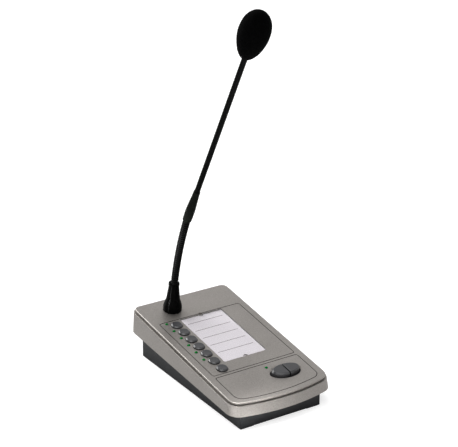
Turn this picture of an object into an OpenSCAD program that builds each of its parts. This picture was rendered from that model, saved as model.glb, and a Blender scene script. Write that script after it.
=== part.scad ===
// Desk paging microphone: a sloped base with keys and a label, and a bendable neck with a foam windscreen.
// Millimetres. X is to the user's right, Y away from the user, Z up. The origin is on the table.

/* [Top cover] */
// Width of the top face
cover_w = 100; // [96:1:108]
// Length of the top face along its slope
cover_len = 178; // [176:1:186]
// Height of the top face above the table at mid length
cover_h = 39.1; // [38:0.1:44]
// Slope of the top face towards the user, in degrees
cover_tilt = 7.9; // [7:0.1:9]
// Radius of the bowed front edge
front_bow_r = 180; // [150:5:300]
// Plan radius of the front corners
front_corner_r = 10; // [8:0.5:14]
// Plan radius of the back corners
back_corner_r = 6; // [5:0.5:10]
// Thickness of the top plate
plate_t = 2.4; // [2.2:0.1:3]
// Rounding of the rim's upper edge
rim_r = 0.9; // [0.4:0.1:1.2]
// Height of the rim, from the top face to the reveal groove
rim_h = 1.4; // [1.3:0.1:2]
// Height of the reveal groove between the rim and the skirt
reveal_h = 1.6; // [0.8:0.1:2]
// Depth of the reveal groove, from the rim inwards
reveal_d = 1.3; // [0.8:0.1:1.8]
// Wall left behind the reveal groove
reveal_wall = 1.9; // [1.5:0.1:3]
// How far the skirt's upper edge stands out past the rim
skirt_step = 1.3; // [0.4:0.1:1.6]
// Rounding of the skirt's upper edge
skirt_lip_r = 0.6; // [0.3:0.1:0.8]
// How far the skirt flares out from its upper edge to its lower edge
skirt_flare = 1; // [0.4:0.1:2]
// Wall of the skirt at its lower edge
skirt_t = 2.4; // [1.8:0.1:3]
// Height of the skirt's lower edge above the table at mid length
parting_h = 21.7; // [19:0.1:22.5]
// Slope of the skirt's lower edge, in degrees
parting_tilt = 4.2; // [3.5:0.1:5]

/* [Panel lines] */
// Width of an engraved panel line
line_w = 0.7; // [0.4:0.1:1.2]
// Depth of an engraved panel line
line_d = 0.45; // [0.2:0.05:0.8]
// From the cover's sides to the panel lines
panel_inset = 7.15; // [6:0.05:9]
// From the first key to the back line of the key panel
panel_back_margin = 8.8; // [8:0.1:11]
// From the last key to the front line of the key panel
panel_front_margin = 7; // [6.5:0.1:9]
// From the key panel to the talk panel
panel_gap = 3.2; // [2:0.1:5]
// From the cover's front edge to the talk panel's front line
panel_front_inset = 5.6; // [4.5:0.1:7]
// Corner radius of the panels
panel_corner_r = 2; // [1.5:0.5:4]
// Front corner radius of the talk panel
talk_panel_corner_r = 8; // [5:0.5:10]

/* [Zone keys] */
// Diameter of a keycap
key_d = 10.4; // [9:0.1:10.6]
// Spacing of the keys
key_pitch = 12.83; // [12.8:0.01:13.2]
// Distance of the key column from the centre line
key_x = 29.4; // [29:0.1:31]
// Distance of the first key behind mid length
first_key_y = 44.5; // [43:0.1:46]
// How far a keycap stands above the plate
key_proud = 2; // [1.2:0.1:2.5]
// Rounding of a keycap's edge
key_edge_r = 0.6; // [0.4:0.1:1]
// Depth of the finger dish in a keycap
key_dish = 0.25; // [0.1:0.05:0.4]
// Radial gap round a keycap in its hole
key_gap = 0.35; // [0.15:0.05:0.4]
// How far the retaining flange reaches past a keycap
key_flange_w = 0.9; // [0.6:0.1:1]
// Thickness of the retaining flange
key_flange_t = 0.8; // [0.6:0.1:1]
// Diameter of the stem under a keycap
key_stem_d = 5; // [4:0.1:6]
// Travel of a zone key
key_travel = 1; // [0.5:0.1:1.1]
// Gap between a flange at rest and the plate
key_rest_gap = 0.15; // [0.1:0.05:0.2]

/* [Lamps] */
// Diameter of a lamp
led_d = 3; // [2.8:0.1:3.2]
// Distance of a zone lamp behind its key
led_back = 6.1; // [5.8:0.1:6.8]
// Distance of a zone lamp to the left of its key
led_side = 7.1; // [6.9:0.1:8]
// How far a lamp's dome stands above the plate
led_proud = 0.8; // [0.1:0.1:1]
// Radial gap round a lamp in its hole
led_gap = 0.12; // [0.08:0.02:0.2]
// Length of a lamp from its flange to its dome
led_len = 5.3; // [4.8:0.1:6]
// Width of a lamp's flange past its body
led_flange_w = 0.4; // [0.2:0.1:0.5]
// Thickness of a lamp's flange
led_flange_t = 1; // [0.8:0.1:1.2]
// Diameter of a lamp's leg
led_leg_d = 0.5; // [0.4:0.05:0.6]
// Spacing of a lamp's legs
led_leg_pitch = 2.54; // [2:0.02:2.6]
// Wall of a lamp's spacer
spacer_wall = 0.6; // [0.4:0.1:0.8]
// Talk lamp to the right of the centre line
talk_led_x = 6.5; // [5:0.1:8]
// From the talk keys' middle back to their lamp
talk_led_back = 11.5; // [11.2:0.1:12.5]

/* [Talk keys] */
// Length of the oval pair of talk keys
talk_l = 28; // [25:0.5:30]
// Width of the talk keys
talk_w = 15.8; // [14:0.1:17]
// Split between the two talk keys
talk_split = 1.2; // [0.8:0.1:2]
// Centre of the talk keys, to the right of the centre line
talk_x = 19.1; // [18:0.1:20]
// From the cover's front edge to the middle of the talk keys
talk_front_inset = 29; // [28:0.1:30]
// How far the talk keys stand above the plate
talk_proud = 3.2; // [2:0.1:3.5]
// Bevel of the talk keys' upper edge
talk_bevel = 1.3; // [0.5:0.1:1.5]
// Gap round the talk keys in their hole
talk_gap = 0.8; // [0.5:0.05:1]
// How far the dished recess reaches past the talk keys
recess_rim = 2.4; // [2:0.1:2.8]
// Width of the recess's floor round the keys
recess_floor = 0.5; // [0.3:0.1:0.8]
// Depth of the dished recess
recess_d = 1.5; // [1:0.1:1.8]
// Thickness of the boss under the recess
talk_boss_t = 1.2; // [1:0.1:1.3]
// How far the talk keys' retaining flange reaches past them
talk_flange_w = 1.4; // [1.2:0.1:1.8]
// Thickness of the talk keys' retaining flange
talk_flange_t = 0.7; // [0.6:0.05:0.8]
// Travel of a talk key
talk_travel = 1.2; // [0.8:0.1:1.2]

/* [Label] */
// Width of the label pocket
label_w = 44.8; // [40:0.1:45.5]
// Length of the label pocket
label_len = 77; // [70:0.5:78]
// Offset of the label to the right of the centre line
label_x = 0.8; // [0.6:0.1:1]
// From the first key to the pocket's back edge
label_lead = 8; // [6:0.1:8.1]
// Depth of the label pocket
label_d = 1.6; // [1.3:0.1:1.7]
// Corner radius of the label pocket
label_corner_r = 1; // [0.5:0.1:2]
// Thickness of the label card
card_t = 0.3; // [0.2:0.05:0.4]
// Thickness of the clear window
window_t = 1.4; // [1:0.1:1.6]
// Gap round the window in its pocket
window_gap = 0.2; // [0.1:0.05:0.3]
// Radius of the two pry notches
notch_r = 2.2; // [1.5:0.1:3]

/* [Bottom tray] */
// From the cover's sides to the tray's sides
tray_side_inset = 8; // [7:0.05:10]
// From the cover's front edge to the tray's front wall
tray_front_inset = 8.2; // [7.5:0.1:10]
// From the cover's back edge to the tray's back wall
tray_back_inset = 2.3; // [2.2:0.1:4]
// Wall and floor of the tray
tray_t = 2.2; // [1.8:0.1:2.6]
// Corner radius of the tray
tray_corner_r = 1.5; // [1:0.1:2]
// Thickness of the tray's flange inside the skirt
flange_t = 1.6; // [1.2:0.1:2]
// How far the flange sits above the skirt's lower edge
flange_lift = 0.4; // [0.2:0.1:0.6]
// Gap between the flange and the skirt
flange_gap = 0.9; // [0.8:0.1:1.4]
// How far the feet stand below the tray
foot_h = 0.8; // [0.6:0.1:2]
// How far the feet are sunk into the tray
foot_sunk = 0.8; // [0.5:0.1:1]
// Width of a foot
foot_w = 14; // [10:0.5:16]
// Length of a rear foot
rear_foot_l = 22; // [16:0.5:24]
// Length of a front foot
front_foot_l = 12; // [10:0.5:14]
// From the tray's sides to a foot
foot_inset = 0.7; // [0.6:0.1:2]
// Corner radius of a foot
foot_corner_r = 1.2; // [0.8:0.1:2]
// Gap round a foot in its seat
foot_gap = 0.15; // [0.1:0.05:0.2]

/* [Fastening] */
// Diameter of the cover's screw posts
post_d = 7; // [6:0.1:8]
// From the tray's walls to the screw posts
post_inset = 8; // [7.6:0.1:9]
// Height at which the cover's posts meet the tray's pillars
post_z = 10; // [9:0.5:11]
// Gap between a post and its pillar
post_gap = 0.1; // [0.05:0.05:0.2]
// Diameter of a housing screw
screw_d = 3; // [2.5:0.1:3.2]
// Diameter of a housing screw's head
screw_head_d = 5.6; // [5:0.1:6]
// Height of a housing screw's head
screw_head_h = 2; // [1.5:0.1:2.4]
// Floor left over a housing screw's head
screw_seat_t = 3; // [2:0.1:3.5]
// Depth to which a housing screw bites into its post
screw_grip = 9; // [6:0.5:10]
// Gap between a screw and the thread cut for it
thread_gap = 0.05; // [0.03:0.01:0.1]
// Gap round a screw in a plain hole
hole_gap = 0.2; // [0.15:0.05:0.4]
// Diameter of a small screw for the boards and the weight
small_screw_d = 2.2; // [2:0.1:2.5]
// Diameter of a small screw's head
small_head_d = 4.4; // [4:0.1:5]
// Height of a small screw's head
small_head_h = 1.4; // [1:0.1:1.6]
// Diameter of the posts that take the small screws
small_post_d = 5.6; // [5:0.1:6]
// Depth to which a small screw bites into the cover's posts
small_grip = 5; // [3:0.5:5.5]
// Depth to which a small screw bites into the tray's pillars
short_grip = 3; // [2:0.5:3]
// Depth of a screw's hole past its tip
tip_gap = 1; // [0.5:0.1:1]

/* [Main board] */
// From the top face down to the board
board_drop = 10; // [9.9:0.1:11]
// Thickness of a circuit board
board_t = 1.6; // [1:0.1:2]
// Width of the main board
board_w = 80; // [78:0.5:84]
// From the first key to the board's back edge
board_back_margin = 7.5; // [7:0.1:9]
// From the middle of the talk keys to the board's front edge
board_front_margin = 8; // [6:0.1:8.5]
// Left board posts, to the left of the centre line
board_post_left = 12; // [10:0.5:13]
// Right board posts, to the right of the centre line
board_post_right = 35; // [30:0.5:36]
// Rear board posts, behind the first key
board_post_back = 1.5; // [0:0.1:3]
// Front board posts, ahead of the last key
board_post_front = 7.5; // [6:0.1:8.5]
// Width of a push switch
switch_w = 6; // [5:0.1:6.5]
// Height of a push switch
switch_h = 3.5; // [3.2:0.1:3.6]
// Diameter of a switch plunger
plunger_d = 3.4; // [3:0.1:3.6]
// How far a plunger stands out of its switch
plunger_proud = 1.5; // [1.5:0.1:1.6]
// How far a plunger reaches into its switch
plunger_sunk = 1; // [0.6:0.1:1]
// Radial gap round a plunger
plunger_gap = 0.08; // [0.05:0.01:0.1]
// Width of a lead's header
header_w = 8; // [6:0.5:10]
// Depth of a lead's header
header_l = 5; // [4:0.5:6]
// Height of a lead's header
header_h = 6; // [5:0.5:7]
// Diameter of an inner lead
lead_d = 3; // [2.5:0.1:3.4]

/* [Rear socket] */
// Centre of the socket, to the right of the centre line
socket_x = 12; // [8:0.5:16]
// Width of the socket
socket_w = 16; // [15.5:0.1:17]
// Height of the socket
socket_h = 13.2; // [12.8:0.1:14]
// Depth of the socket
socket_l = 15.5; // [15:0.1:18]
// Width of the socket's mouth
mouth_w = 11.9; // [11.7:0.05:12.2]
// Height of the socket's mouth
mouth_h = 6.9; // [6.7:0.05:7.2]
// Depth of the socket's mouth
mouth_l = 12.5; // [11:0.1:13]
// Width of the latch slot under the mouth
latch_w = 6.2; // [5.8:0.1:6.6]
// Height of the latch slot under the mouth
latch_h = 2.4; // [2:0.1:2.8]
// Wall under the latch slot
latch_wall = 1.2; // [0.8:0.1:1.5]
// Gap round the socket in the tray's wall
socket_gap = 0.2; // [0.1:0.05:0.4]
// Number of contacts in the socket
contact_count = 8; // [4:2:8]
// Spacing of the contacts
contact_pitch = 1.02; // [1:0.01:1.1]
// Thickness of a contact
contact_t = 0.4; // [0.3:0.05:0.5]
// How far a contact hangs into the mouth
contact_drop = 0.8; // [0.5:0.1:1]
// Length of a contact
contact_l = 8; // [6:0.5:9]
// Height of the line board above the tray's floor
line_board_lift = 4; // [3:0.5:5]
// Width of the line board
line_board_w = 30; // [26:0.5:32]
// Length of the line board
line_board_l = 28; // [26:0.5:30]
// From the line board's sides to its screws
line_screw_inset = 3.6; // [3:0.1:4]

/* [Ballast] */
// Width of the steel weight
ballast_w = 66; // [60:1:70]
// Length of the steel weight
ballast_len = 104; // [90:1:108]
// Thickness of the steel weight
ballast_t = 3; // [2:0.5:4]
// Distance of the weight's middle ahead of mid length
ballast_y = 10; // [8:0.5:12]
// Corner radius of the weight
ballast_corner_r = 4; // [2:0.5:6]
// From the weight's sides to its screws
ballast_screw_inset = 8; // [6:0.5:10]
// Diameter of the weight's screw heads
ballast_head_d = 7.4; // [7:0.1:8]

/* [Neck fixing] */
// Distance of the neck from the centre line
neck_x = 18.9; // [17:0.1:21]
// From the cover's back edge to the neck
neck_back_inset = 18.7; // [17:0.1:20]
// Diameter of the boot at its foot
boot_d = 17.4; // [16.4:0.1:18.4]
// Height of the boot
boot_h = 29; // [26:0.5:32]
// Height of the boot's straight foot
boot_foot_h = 3.4; // [2.4:0.1:4.4]
// Diameter of the boot above its flare
boot_waist_d = 12.2; // [11.8:0.1:13]
// Height of the boot's flare
boot_flare_h = 15; // [12:0.5:18]
// Diameter of the boot at its rim
boot_rim_d = 10.2; // [9.8:0.1:11]
// Gap round the neck in the boot's rim
boot_gap = 0.6; // [0.4:0.1:0.8]
// Gap between the boot and the bush inside it
boot_bush_gap = 0.3; // [0.2:0.05:0.5]
// Diameter of the bush's collar
bush_collar_d = 12; // [11.5:0.1:12.4]
// Height of the bush's collar
bush_collar_h = 3; // [2:0.1:4]
// Diameter of the bush's thread
bush_thread_d = 9; // [8.5:0.1:10]
// Length of the bush below the top face
bush_drop = 10; // [9.5:0.1:11]
// Height of the neck's seat on the bush
bush_top_h = 10; // [8:0.5:12]
// Diameter of the bush's upper end
bush_top_d = 7.4; // [7:0.1:7.6]
// Diameter of the neck washer
washer_d = 17; // [15:0.5:18]
// Thickness of the neck washer
washer_t = 1; // [0.8:0.1:1.2]
// Width of the neck nut across its corners
nut_d = 15; // [14:0.1:16]
// Thickness of the neck nut
nut_t = 4.2; // [3.5:0.1:4.5]

/* [Bendable neck] */
// Outer diameter of the ribbed neck
flex_d = 7; // [6.4:0.1:7.2]
// Bore of the ribbed neck
flex_bore = 4; // [3.5:0.1:4.2]
// Spacing of the ribs
rib_pitch = 2.25; // [1.6:0.05:2.6]
// Depth of the ribs
rib_depth = 0.45; // [0.3:0.05:0.5]
// Length of the ribbed neck from its seat to the sleeve's mouth
flex_len = 93; // [90:0.5:98]
// Lean of the ribbed neck at the sleeve, in degrees
flex_end_lean = 25.4; // [24.8:0.1:26]
// Gap between two stretches of the neck
flex_gap = 0.1; // [0.05:0.05:0.2]

/* [Stem] */
// Lean of the stem, in degrees
stem_lean = 28.4; // [27.8:0.1:29]
// Diameter of the stem
stem_d = 5; // [4.6:0.1:5.2]
// Bore of the stem
stem_bore = 3.2; // [2.8:0.1:3.6]
// Length of the sleeve
sleeve_l = 36.6; // [34:0.1:40]
// Diameter of the sleeve at its mouth
sleeve_mouth_d = 8.2; // [8.1:0.1:8.5]
// Diameter of the sleeve at its fullest
sleeve_full_d = 8.6; // [8.4:0.1:9.2]
// Distance of the sleeve's fullest place from its mouth
sleeve_full_z = 10; // [8:0.5:12]
// Diameter of the sleeve at its tip
sleeve_tip_d = 6.1; // [6:0.1:6.5]
// How far the ribbed neck reaches into the sleeve
sleeve_sunk = 2; // [1:0.1:2.2]
// Gap round the ribbed neck in the sleeve
sleeve_gap = 0.2; // [0.18:0.01:0.25]
// How far the stem reaches into the sleeve
stem_grip = 10; // [6:0.5:14]
// Gap round the stem in its seats
stem_gap = 0.05; // [0.03:0.01:0.1]

/* [Microphone] */
// Distance of the windscreen's lower end from the sleeve's mouth
foam_start = 193.5; // [180:0.5:210]
// Length of the windscreen
foam_len = 49.3; // [46:0.1:54]
// Diameter of the windscreen at mid length
foam_d = 26.4; // [24:0.1:30]
// Share by which the windscreen is fuller towards its tip
foam_egg = 0.17; // [0:0.01:0.25]
// Gap between the windscreen and what it covers
foam_gap = 0.2; // [0.1:0.05:0.3]
// From the windscreen's lower end to the capsule cup
cup_start = 10; // [8:0.5:12]
// Length of the capsule cup
cup_len = 21; // [18:0.5:24]
// Diameter of the capsule cup
cup_d = 9.6; // [9.2:0.1:11]
// Wall of the capsule cup
cup_wall = 0.6; // [0.5:0.1:0.8]
// How far the stem reaches into the cup
cup_grip = 6; // [4:0.5:8]
// Height of the microphone capsule
capsule_h = 5; // [4:0.5:7]
// Gap round the capsule in its cup
capsule_gap = 0.05; // [0.03:0.01:0.1]
// Diameter of a sound hole in the capsule
sound_hole_d = 0.9; // [0.6:0.1:1.2]
// Depth of a sound hole
sound_hole_l = 0.8; // [0.5:0.1:1]
// Radius of the ring of sound holes
sound_ring_r = 2.2; // [1.8:0.1:2.6]

/* [Hidden] */
$fn = 48;
ZONE_KEYS = 7;
ZONE_LEDS = 6;
SOUND_HOLES = 6;
FLEX_STRETCHES = 4;
FLEX_SIDES = 12;
LEAD_SIDES = 8;
LEAD_STEPS = 12;
// Points on each corner arc and on the bowed front
CORNER_STEPS = 9;
BOW_STEPS = 16;
OVAL_STEPS = 48;
EGG_STEPS = 24;
FLARE_STEPS = 8;
// Thickness of a slice in a hull, and how far a cutter runs past a face
SLICE = 0.01;
PAST = 1;

silver = "#928e8a";
charcoal = "#464648";
keycap_grey = "#5f5f64";
black = "#161716";

// Levels below the top face, measured along its normal
switch_top = -(board_drop - switch_h);
plunger_top = switch_top + plunger_proud;
plunger_low = switch_top - plunger_sunk;
key_flange_top = -(plate_t + key_rest_gap);
talk_flange_top = -(plate_t + talk_boss_t + key_rest_gap);
led_flange_low = led_proud - led_len;
card_top = -(label_d - card_t);
skirt_top = -(rim_h + reveal_h);

// Places on the top face
last_key_y = first_key_y - (ZONE_KEYS - 1) * key_pitch;
panel_back = first_key_y + panel_back_margin;
panel_front = last_key_y - panel_front_margin;
talk_panel_back = panel_front - panel_gap;
talk_y = talk_front_inset - cover_len / 2;
label_y = first_key_y + label_lead - label_len / 2;
board_back = first_key_y + board_back_margin;
board_front = talk_y - board_front_margin;
neck_y = cover_len / 2 - neck_back_inset;
board_posts = [
    for (x = [-board_post_left, board_post_right])
        for (y = [first_key_y + board_post_back, last_key_y - board_post_front])
            [x, y]
];
mic_header = [-neck_x, board_back - header_l];
line_header_x = socket_x - header_w;

// Places in the tray
tray_w = cover_w - 2 * tray_side_inset;
tray_front = -cover_len / 2 + tray_front_inset;
tray_back = cover_len / 2 - tray_back_inset;
floor_z = foot_h + tray_t;
flange_top = flange_lift + flange_t;
skirt_foot = skirt_step + skirt_flare;
cavity_top = -(reveal_d + reveal_wall);
cavity_foot = skirt_foot - skirt_t;
posts = [
    for (x = [-1, 1], y = [tray_front + post_inset, tray_back - post_inset])
        [x * (tray_w / 2 - post_inset), y]
];
ballast_screws_at = [
    for (x = [-1, 1], y = [-1, 1])
        [x * (ballast_w / 2 - ballast_screw_inset), y * (ballast_len / 2 - ballast_screw_inset) - ballast_y]
];
line_board_z = floor_z + line_board_lift;
line_board_top = line_board_z + board_t;
line_board_front = tray_back - tray_t - socket_gap - line_board_l;
line_screws_at = [
    for (x = [-1, 1])
        [socket_x + x * (line_board_w / 2 - line_screw_inset), line_board_front + line_screw_inset]
];
latch_z = line_board_top + latch_wall;
mouth_z = latch_z + latch_h;

// The neck follows an arc in the plane x = -neck_x, its lean growing evenly along its length
flex_seat = plate_point(-neck_x, neck_y, bush_top_h);
flex_turn = (flex_end_lean - cover_tilt) / flex_len;
flex_free_from = boot_h - bush_top_h;
flex_stretch = (flex_len - flex_free_from) / FLEX_STRETCHES;
sleeve_mouth = neck_point(flex_len);
cup_z = foam_start + cup_start;
cup_neck_d = stem_d + 2 * (stem_gap + cup_wall);
capsule_d = cup_d - 2 * (cup_wall + capsule_gap);

function plate_point(x, y, h) = [
    x,
    y * cos(cover_tilt) - h * sin(cover_tilt),
    cover_h + y * sin(cover_tilt) + h * cos(cover_tilt)
];

function neck_lean(s) = cover_tilt + flex_turn * s;

function neck_point(s) = let (r = 180 / (PI * flex_turn)) [
    flex_seat[0],
    flex_seat[1] + r * (cos(neck_lean(s)) - cos(cover_tilt)),
    flex_seat[2] + r * (sin(neck_lean(s)) - sin(cover_tilt))
];

function arc(centre, r, from, to, steps) = [
    for (i = [0:steps]) let (a = from + (to - from) * i / steps) centre + r * [cos(a), sin(a)]
];

// Outline with straight sides, a bowed front and four rounded corners, grown by d all round
function bowed_plan(w, front, back, bow, front_r, back_r, d) =
    let (
        fx = w / 2 - front_r,
        bow_y = front + bow,
        fy = bow_y - sqrt(pow(bow - front_r, 2) - fx * fx),
        turn = atan2(fy - bow_y, fx),
        bow_arc = arc([0, bow_y], bow + d, -180 - turn, turn, BOW_STEPS)
    )
    concat(
        arc([fx, fy], front_r + d, turn, 0, CORNER_STEPS),
        arc([w / 2 - back_r, back - back_r], back_r + d, 0, 90, CORNER_STEPS),
        arc([back_r - w / 2, back - back_r], back_r + d, 90, 180, CORNER_STEPS),
        arc([-fx, fy], front_r + d, 180, 180 - turn, CORNER_STEPS),
        [for (i = [1:BOW_STEPS - 1]) bow_arc[i]]
    );

function cover_plan(d) = bowed_plan(
    cover_w, -cover_len / 2, cover_len / 2, front_bow_r, front_corner_r, back_corner_r, d
);

function talk_panel_plan(d) = bowed_plan(
    cover_w - 2 * panel_inset, panel_front_inset - cover_len / 2, talk_panel_back,
    front_bow_r - panel_front_inset, talk_panel_corner_r, panel_corner_r, d
);

function rounded_plan(w, front, back, r, d = 0) = concat(
    arc([w / 2 - r, front + r], r + d, -90, 0, CORNER_STEPS),
    arc([w / 2 - r, back - r], r + d, 0, 90, CORNER_STEPS),
    arc([r - w / 2, back - r], r + d, 90, 180, CORNER_STEPS),
    arc([r - w / 2, front + r], r + d, 180, 270, CORNER_STEPS)
);

function key_panel_plan(d) = rounded_plan(
    cover_w - 2 * panel_inset, panel_front, panel_back, panel_corner_r, d
);

function label_plan(d) = rounded_plan(label_w, -label_len / 2, label_len / 2, label_corner_r, d);

function window_plan() = label_plan(-window_gap);

function oval_plan(d) = [
    for (i = [0:OVAL_STEPS - 1]) let (a = 360 * i / OVAL_STEPS)
        [(talk_l / 2 + d) * cos(a), (talk_w / 2 + d) * sin(a)]
];

// Ring of points round a place on a curve in a plane of constant x, square to the curve's lean
function ring(p, lean, r, sides) = [
    for (k = [0:sides - 1]) let (a = 360 * k / sides)
        p + r * [cos(a), sin(a) * cos(lean), sin(a) * sin(lean)]
];

function bezier(a, b, c, d, t) =
    pow(1 - t, 3) * a + 3 * t * pow(1 - t, 2) * b + 3 * t * t * (1 - t) * c + pow(t, 3) * d;

// Triangles between ring i and the next one, seen from outside or from inside
function wall_faces(i, sides, inward) = [
    for (k = [0:sides - 1])
        let (n = (k + 1) % sides, a = i * sides + k, b = i * sides + n, c = a + sides, e = b + sides)
        each inward ? [[a, e, c], [a, b, e]] : [[a, c, e], [a, e, b]]
];

// Triangles of a flat end between an outer ring and a bore ring
function end_faces(outer, bore, sides, upper) = [
    for (k = [0:sides - 1])
        let (n = (k + 1) % sides, a = outer * sides + k, b = outer * sides + n,
             c = bore * sides + k, e = bore * sides + n)
        each upper ? [[a, e, b], [a, c, e]] : [[a, b, e], [a, e, c]]
];

module on_plate(h = 0) {
    translate([0, 0, cover_h]) rotate([cover_tilt, 0, 0]) translate([0, 0, h]) children();
}

module on_parting(h = 0) {
    translate([0, 0, parting_h]) rotate([parting_tilt, 0, 0]) translate([0, 0, h]) children();
}

module on_stem(z = 0) {
    translate(sleeve_mouth) rotate([stem_lean, 0, 0]) translate([0, 0, z]) children();
}

module on_neck_axis() {
    on_plate() translate([-neck_x, neck_y, 0]) children();
}

module slab(points, low, high) {
    translate([0, 0, low]) linear_extrude(high - low) polygon(points);
}

module at_zone_key(i) {
    on_plate() translate([-key_x, first_key_y - (i - 1) * key_pitch, 0]) children();
}

module at_zone_leds() {
    for (i = [1:ZONE_LEDS]) at_zone_key(i) translate([-led_side, led_back, 0]) children();
}

module at_talk_led() {
    on_plate() translate([talk_led_x, talk_y + talk_led_back, 0]) children();
}

module at_talk() {
    on_plate() translate([talk_x, talk_y, 0]) children();
}

module at_talk_switch(side) {
    at_talk() translate([side * talk_l / 4, 0, 0]) children();
}

module tube(d, bore, low, high) {
    translate([0, 0, low]) difference() {
        cylinder(d = d, h = high - low);
        translate([0, 0, -PAST]) cylinder(d = bore, h = high - low + 2 * PAST);
    }
}

// Upright screw with its head below and its tip up
module screw(d, head_d, head_h, length) {
    translate([0, 0, -head_h]) cylinder(d = head_d, h = head_h);
    cylinder(d = d, h = length);
}

module panel_line(outer, inner) {
    translate([0, 0, -line_d]) linear_extrude(line_d + PAST) difference() {
        polygon(outer);
        polygon(inner);
    }
}

module cover_form() {
    // Rim with a rounded edge
    hull() {
        on_plate() slab(cover_plan(-rim_r / 3), -rim_h, -rim_h + SLICE);
        on_plate() slab(cover_plan(0), -rim_h + rim_r / 3, -rim_r);
        for (a = [22.5:22.5:90])
            on_plate(-rim_r * (1 - sin(a))) slab(cover_plan(-rim_r * (1 - cos(a))), -SLICE, 0);
    }
    // Neck of the moulding behind the reveal groove
    on_plate() slab(cover_plan(-reveal_d), skirt_top - PAST, -rim_r);
    // Flared skirt with a rounded upper edge
    hull() {
        for (a = [0:30:90])
            on_plate(skirt_top - skirt_lip_r * (1 - sin(a)))
                slab(cover_plan(skirt_step - skirt_lip_r * (1 - cos(a))), -SLICE, 0);
        on_parting() slab(cover_plan(skirt_foot), 0, SLICE);
    }
}

// Space under the plate, with a straight band at its foot for the tray's flange
module cover_cavity() {
    hull() {
        on_plate(-plate_t) slab(cover_plan(cavity_top), -SLICE, 0);
        on_parting() slab(cover_plan(cavity_foot), -PAST, flange_top);
    }
}

module cover_posts() {
    for (p = posts)
        translate([p[0], p[1], post_z])
            cylinder(d = post_d, h = cover_h + p[1] * tan(cover_tilt) - plate_t / 2 - post_z);
    for (p = board_posts)
        on_plate(-board_drop) translate([p[0], p[1], 0])
            cylinder(d = small_post_d, h = board_drop - plate_t + SLICE);
    at_talk() slab(oval_plan(recess_rim), -plate_t - talk_boss_t, -plate_t + SLICE);
}

module plate_hole(d) {
    translate([0, 0, -plate_t - PAST]) cylinder(d = d, h = plate_t + 2 * PAST);
}

module cover_holes() {
    for (i = [1:ZONE_KEYS]) at_zone_key(i) plate_hole(key_d + 2 * key_gap);
    at_zone_leds() plate_hole(led_d + 2 * led_gap);
    at_talk_led() plate_hole(led_d + 2 * led_gap);
    on_neck_axis() plate_hole(bush_thread_d + 2 * hole_gap);
    // Dished recess and hole of the talk keys
    hull() {
        at_talk() slab(oval_plan(recess_floor + talk_gap), -recess_d, -recess_d + SLICE);
        at_talk() slab(oval_plan(recess_rim), 0, PAST);
    }
    at_talk() slab(oval_plan(talk_gap), -plate_t - talk_boss_t - PAST, 0);
    // Label pocket with a pry notch at each end
    on_plate() translate([label_x, label_y, 0]) {
        slab(label_plan(0), -label_d, PAST);
        for (side = [-1, 1])
            translate([0, side * label_len / 2, -label_d]) cylinder(r = notch_r, h = label_d + PAST);
    }
    on_plate() panel_line(key_panel_plan(line_w / 2), key_panel_plan(-line_w / 2));
    on_plate() panel_line(talk_panel_plan(line_w / 2), talk_panel_plan(-line_w / 2));
    for (p = posts)
        translate([p[0], p[1], post_z - PAST])
            cylinder(d = screw_d + 2 * thread_gap, h = screw_grip + tip_gap + PAST);
    for (p = board_posts)
        on_plate(-board_drop - PAST) translate([p[0], p[1], 0])
            cylinder(d = small_screw_d + 2 * thread_gap, h = small_grip + tip_gap + PAST);
}

module top_cover() {
    color(silver) difference() {
        union() {
            difference() {
                cover_form();
                cover_cavity();
            }
            cover_posts();
        }
        cover_holes();
    }
}

// Corner seats of the feet, each as a rounded rectangle
module at_feet(grow, low, high) {
    for (x = [-1, 1], y = [0, 1]) {
        l = y == 0 ? front_foot_l : rear_foot_l;
        front = y == 0 ? tray_front + foot_inset : tray_back - foot_inset - l;
        translate([x * (tray_w / 2 - foot_inset - foot_w / 2), 0, 0])
            slab(rounded_plan(foot_w, front, front + l, foot_corner_r, grow), low, high);
    }
}

module bottom_tray() {
    wall_h = 2 * parting_h;
    color(charcoal) difference() {
        union() {
            // Upright walls, cut off along the sloped parting plane
            difference() {
                union() {
                    slab(rounded_plan(tray_w, tray_front, tray_back, tray_corner_r), foot_h, wall_h);
                    on_parting() slab(cover_plan(cavity_foot - flange_gap), flange_lift, flange_top);
                }
                on_parting(flange_top) slab(cover_plan(PAST), 0, wall_h);
                slab(
                    rounded_plan(tray_w - 2 * tray_t, tray_front + tray_t, tray_back - tray_t, tray_corner_r),
                    floor_z, wall_h
                );
            }
            for (p = posts)
                translate([p[0], p[1], foot_h]) cylinder(d = post_d, h = post_z - post_gap - foot_h);
            for (p = ballast_screws_at)
                translate([p[0], p[1], foot_h]) cylinder(d = small_post_d, h = tray_t + ballast_t);
            for (p = line_screws_at)
                translate([p[0], p[1], foot_h]) cylinder(d = small_post_d, h = tray_t + line_board_lift);
        }
        for (p = posts) translate([p[0], p[1], 0]) {
            cylinder(d = screw_d + 2 * hole_gap, h = post_z + PAST);
            cylinder(d = screw_head_d + 2 * hole_gap, h = post_z - post_gap - screw_seat_t);
        }
        for (p = ballast_screws_at)
            translate([p[0], p[1], floor_z + ballast_t - short_grip - tip_gap])
                cylinder(d = small_screw_d + 2 * thread_gap, h = short_grip + tip_gap + PAST);
        for (p = line_screws_at)
            translate([p[0], p[1], line_board_z - short_grip - tip_gap])
                cylinder(d = small_screw_d + 2 * thread_gap, h = short_grip + tip_gap + PAST);
        at_feet(foot_gap, 0, foot_h + foot_sunk);
        // Window of the socket in the back wall
        translate([socket_x, tray_back, line_board_top])
            translate([-socket_w / 2 - socket_gap, -tray_t - PAST, -socket_gap])
                cube([socket_w + 2 * socket_gap, tray_t + 2 * PAST, socket_h + 2 * socket_gap]);
    }
}

module rubber_feet() {
    color(black) at_feet(0, 0, foot_h + foot_sunk);
}

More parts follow.
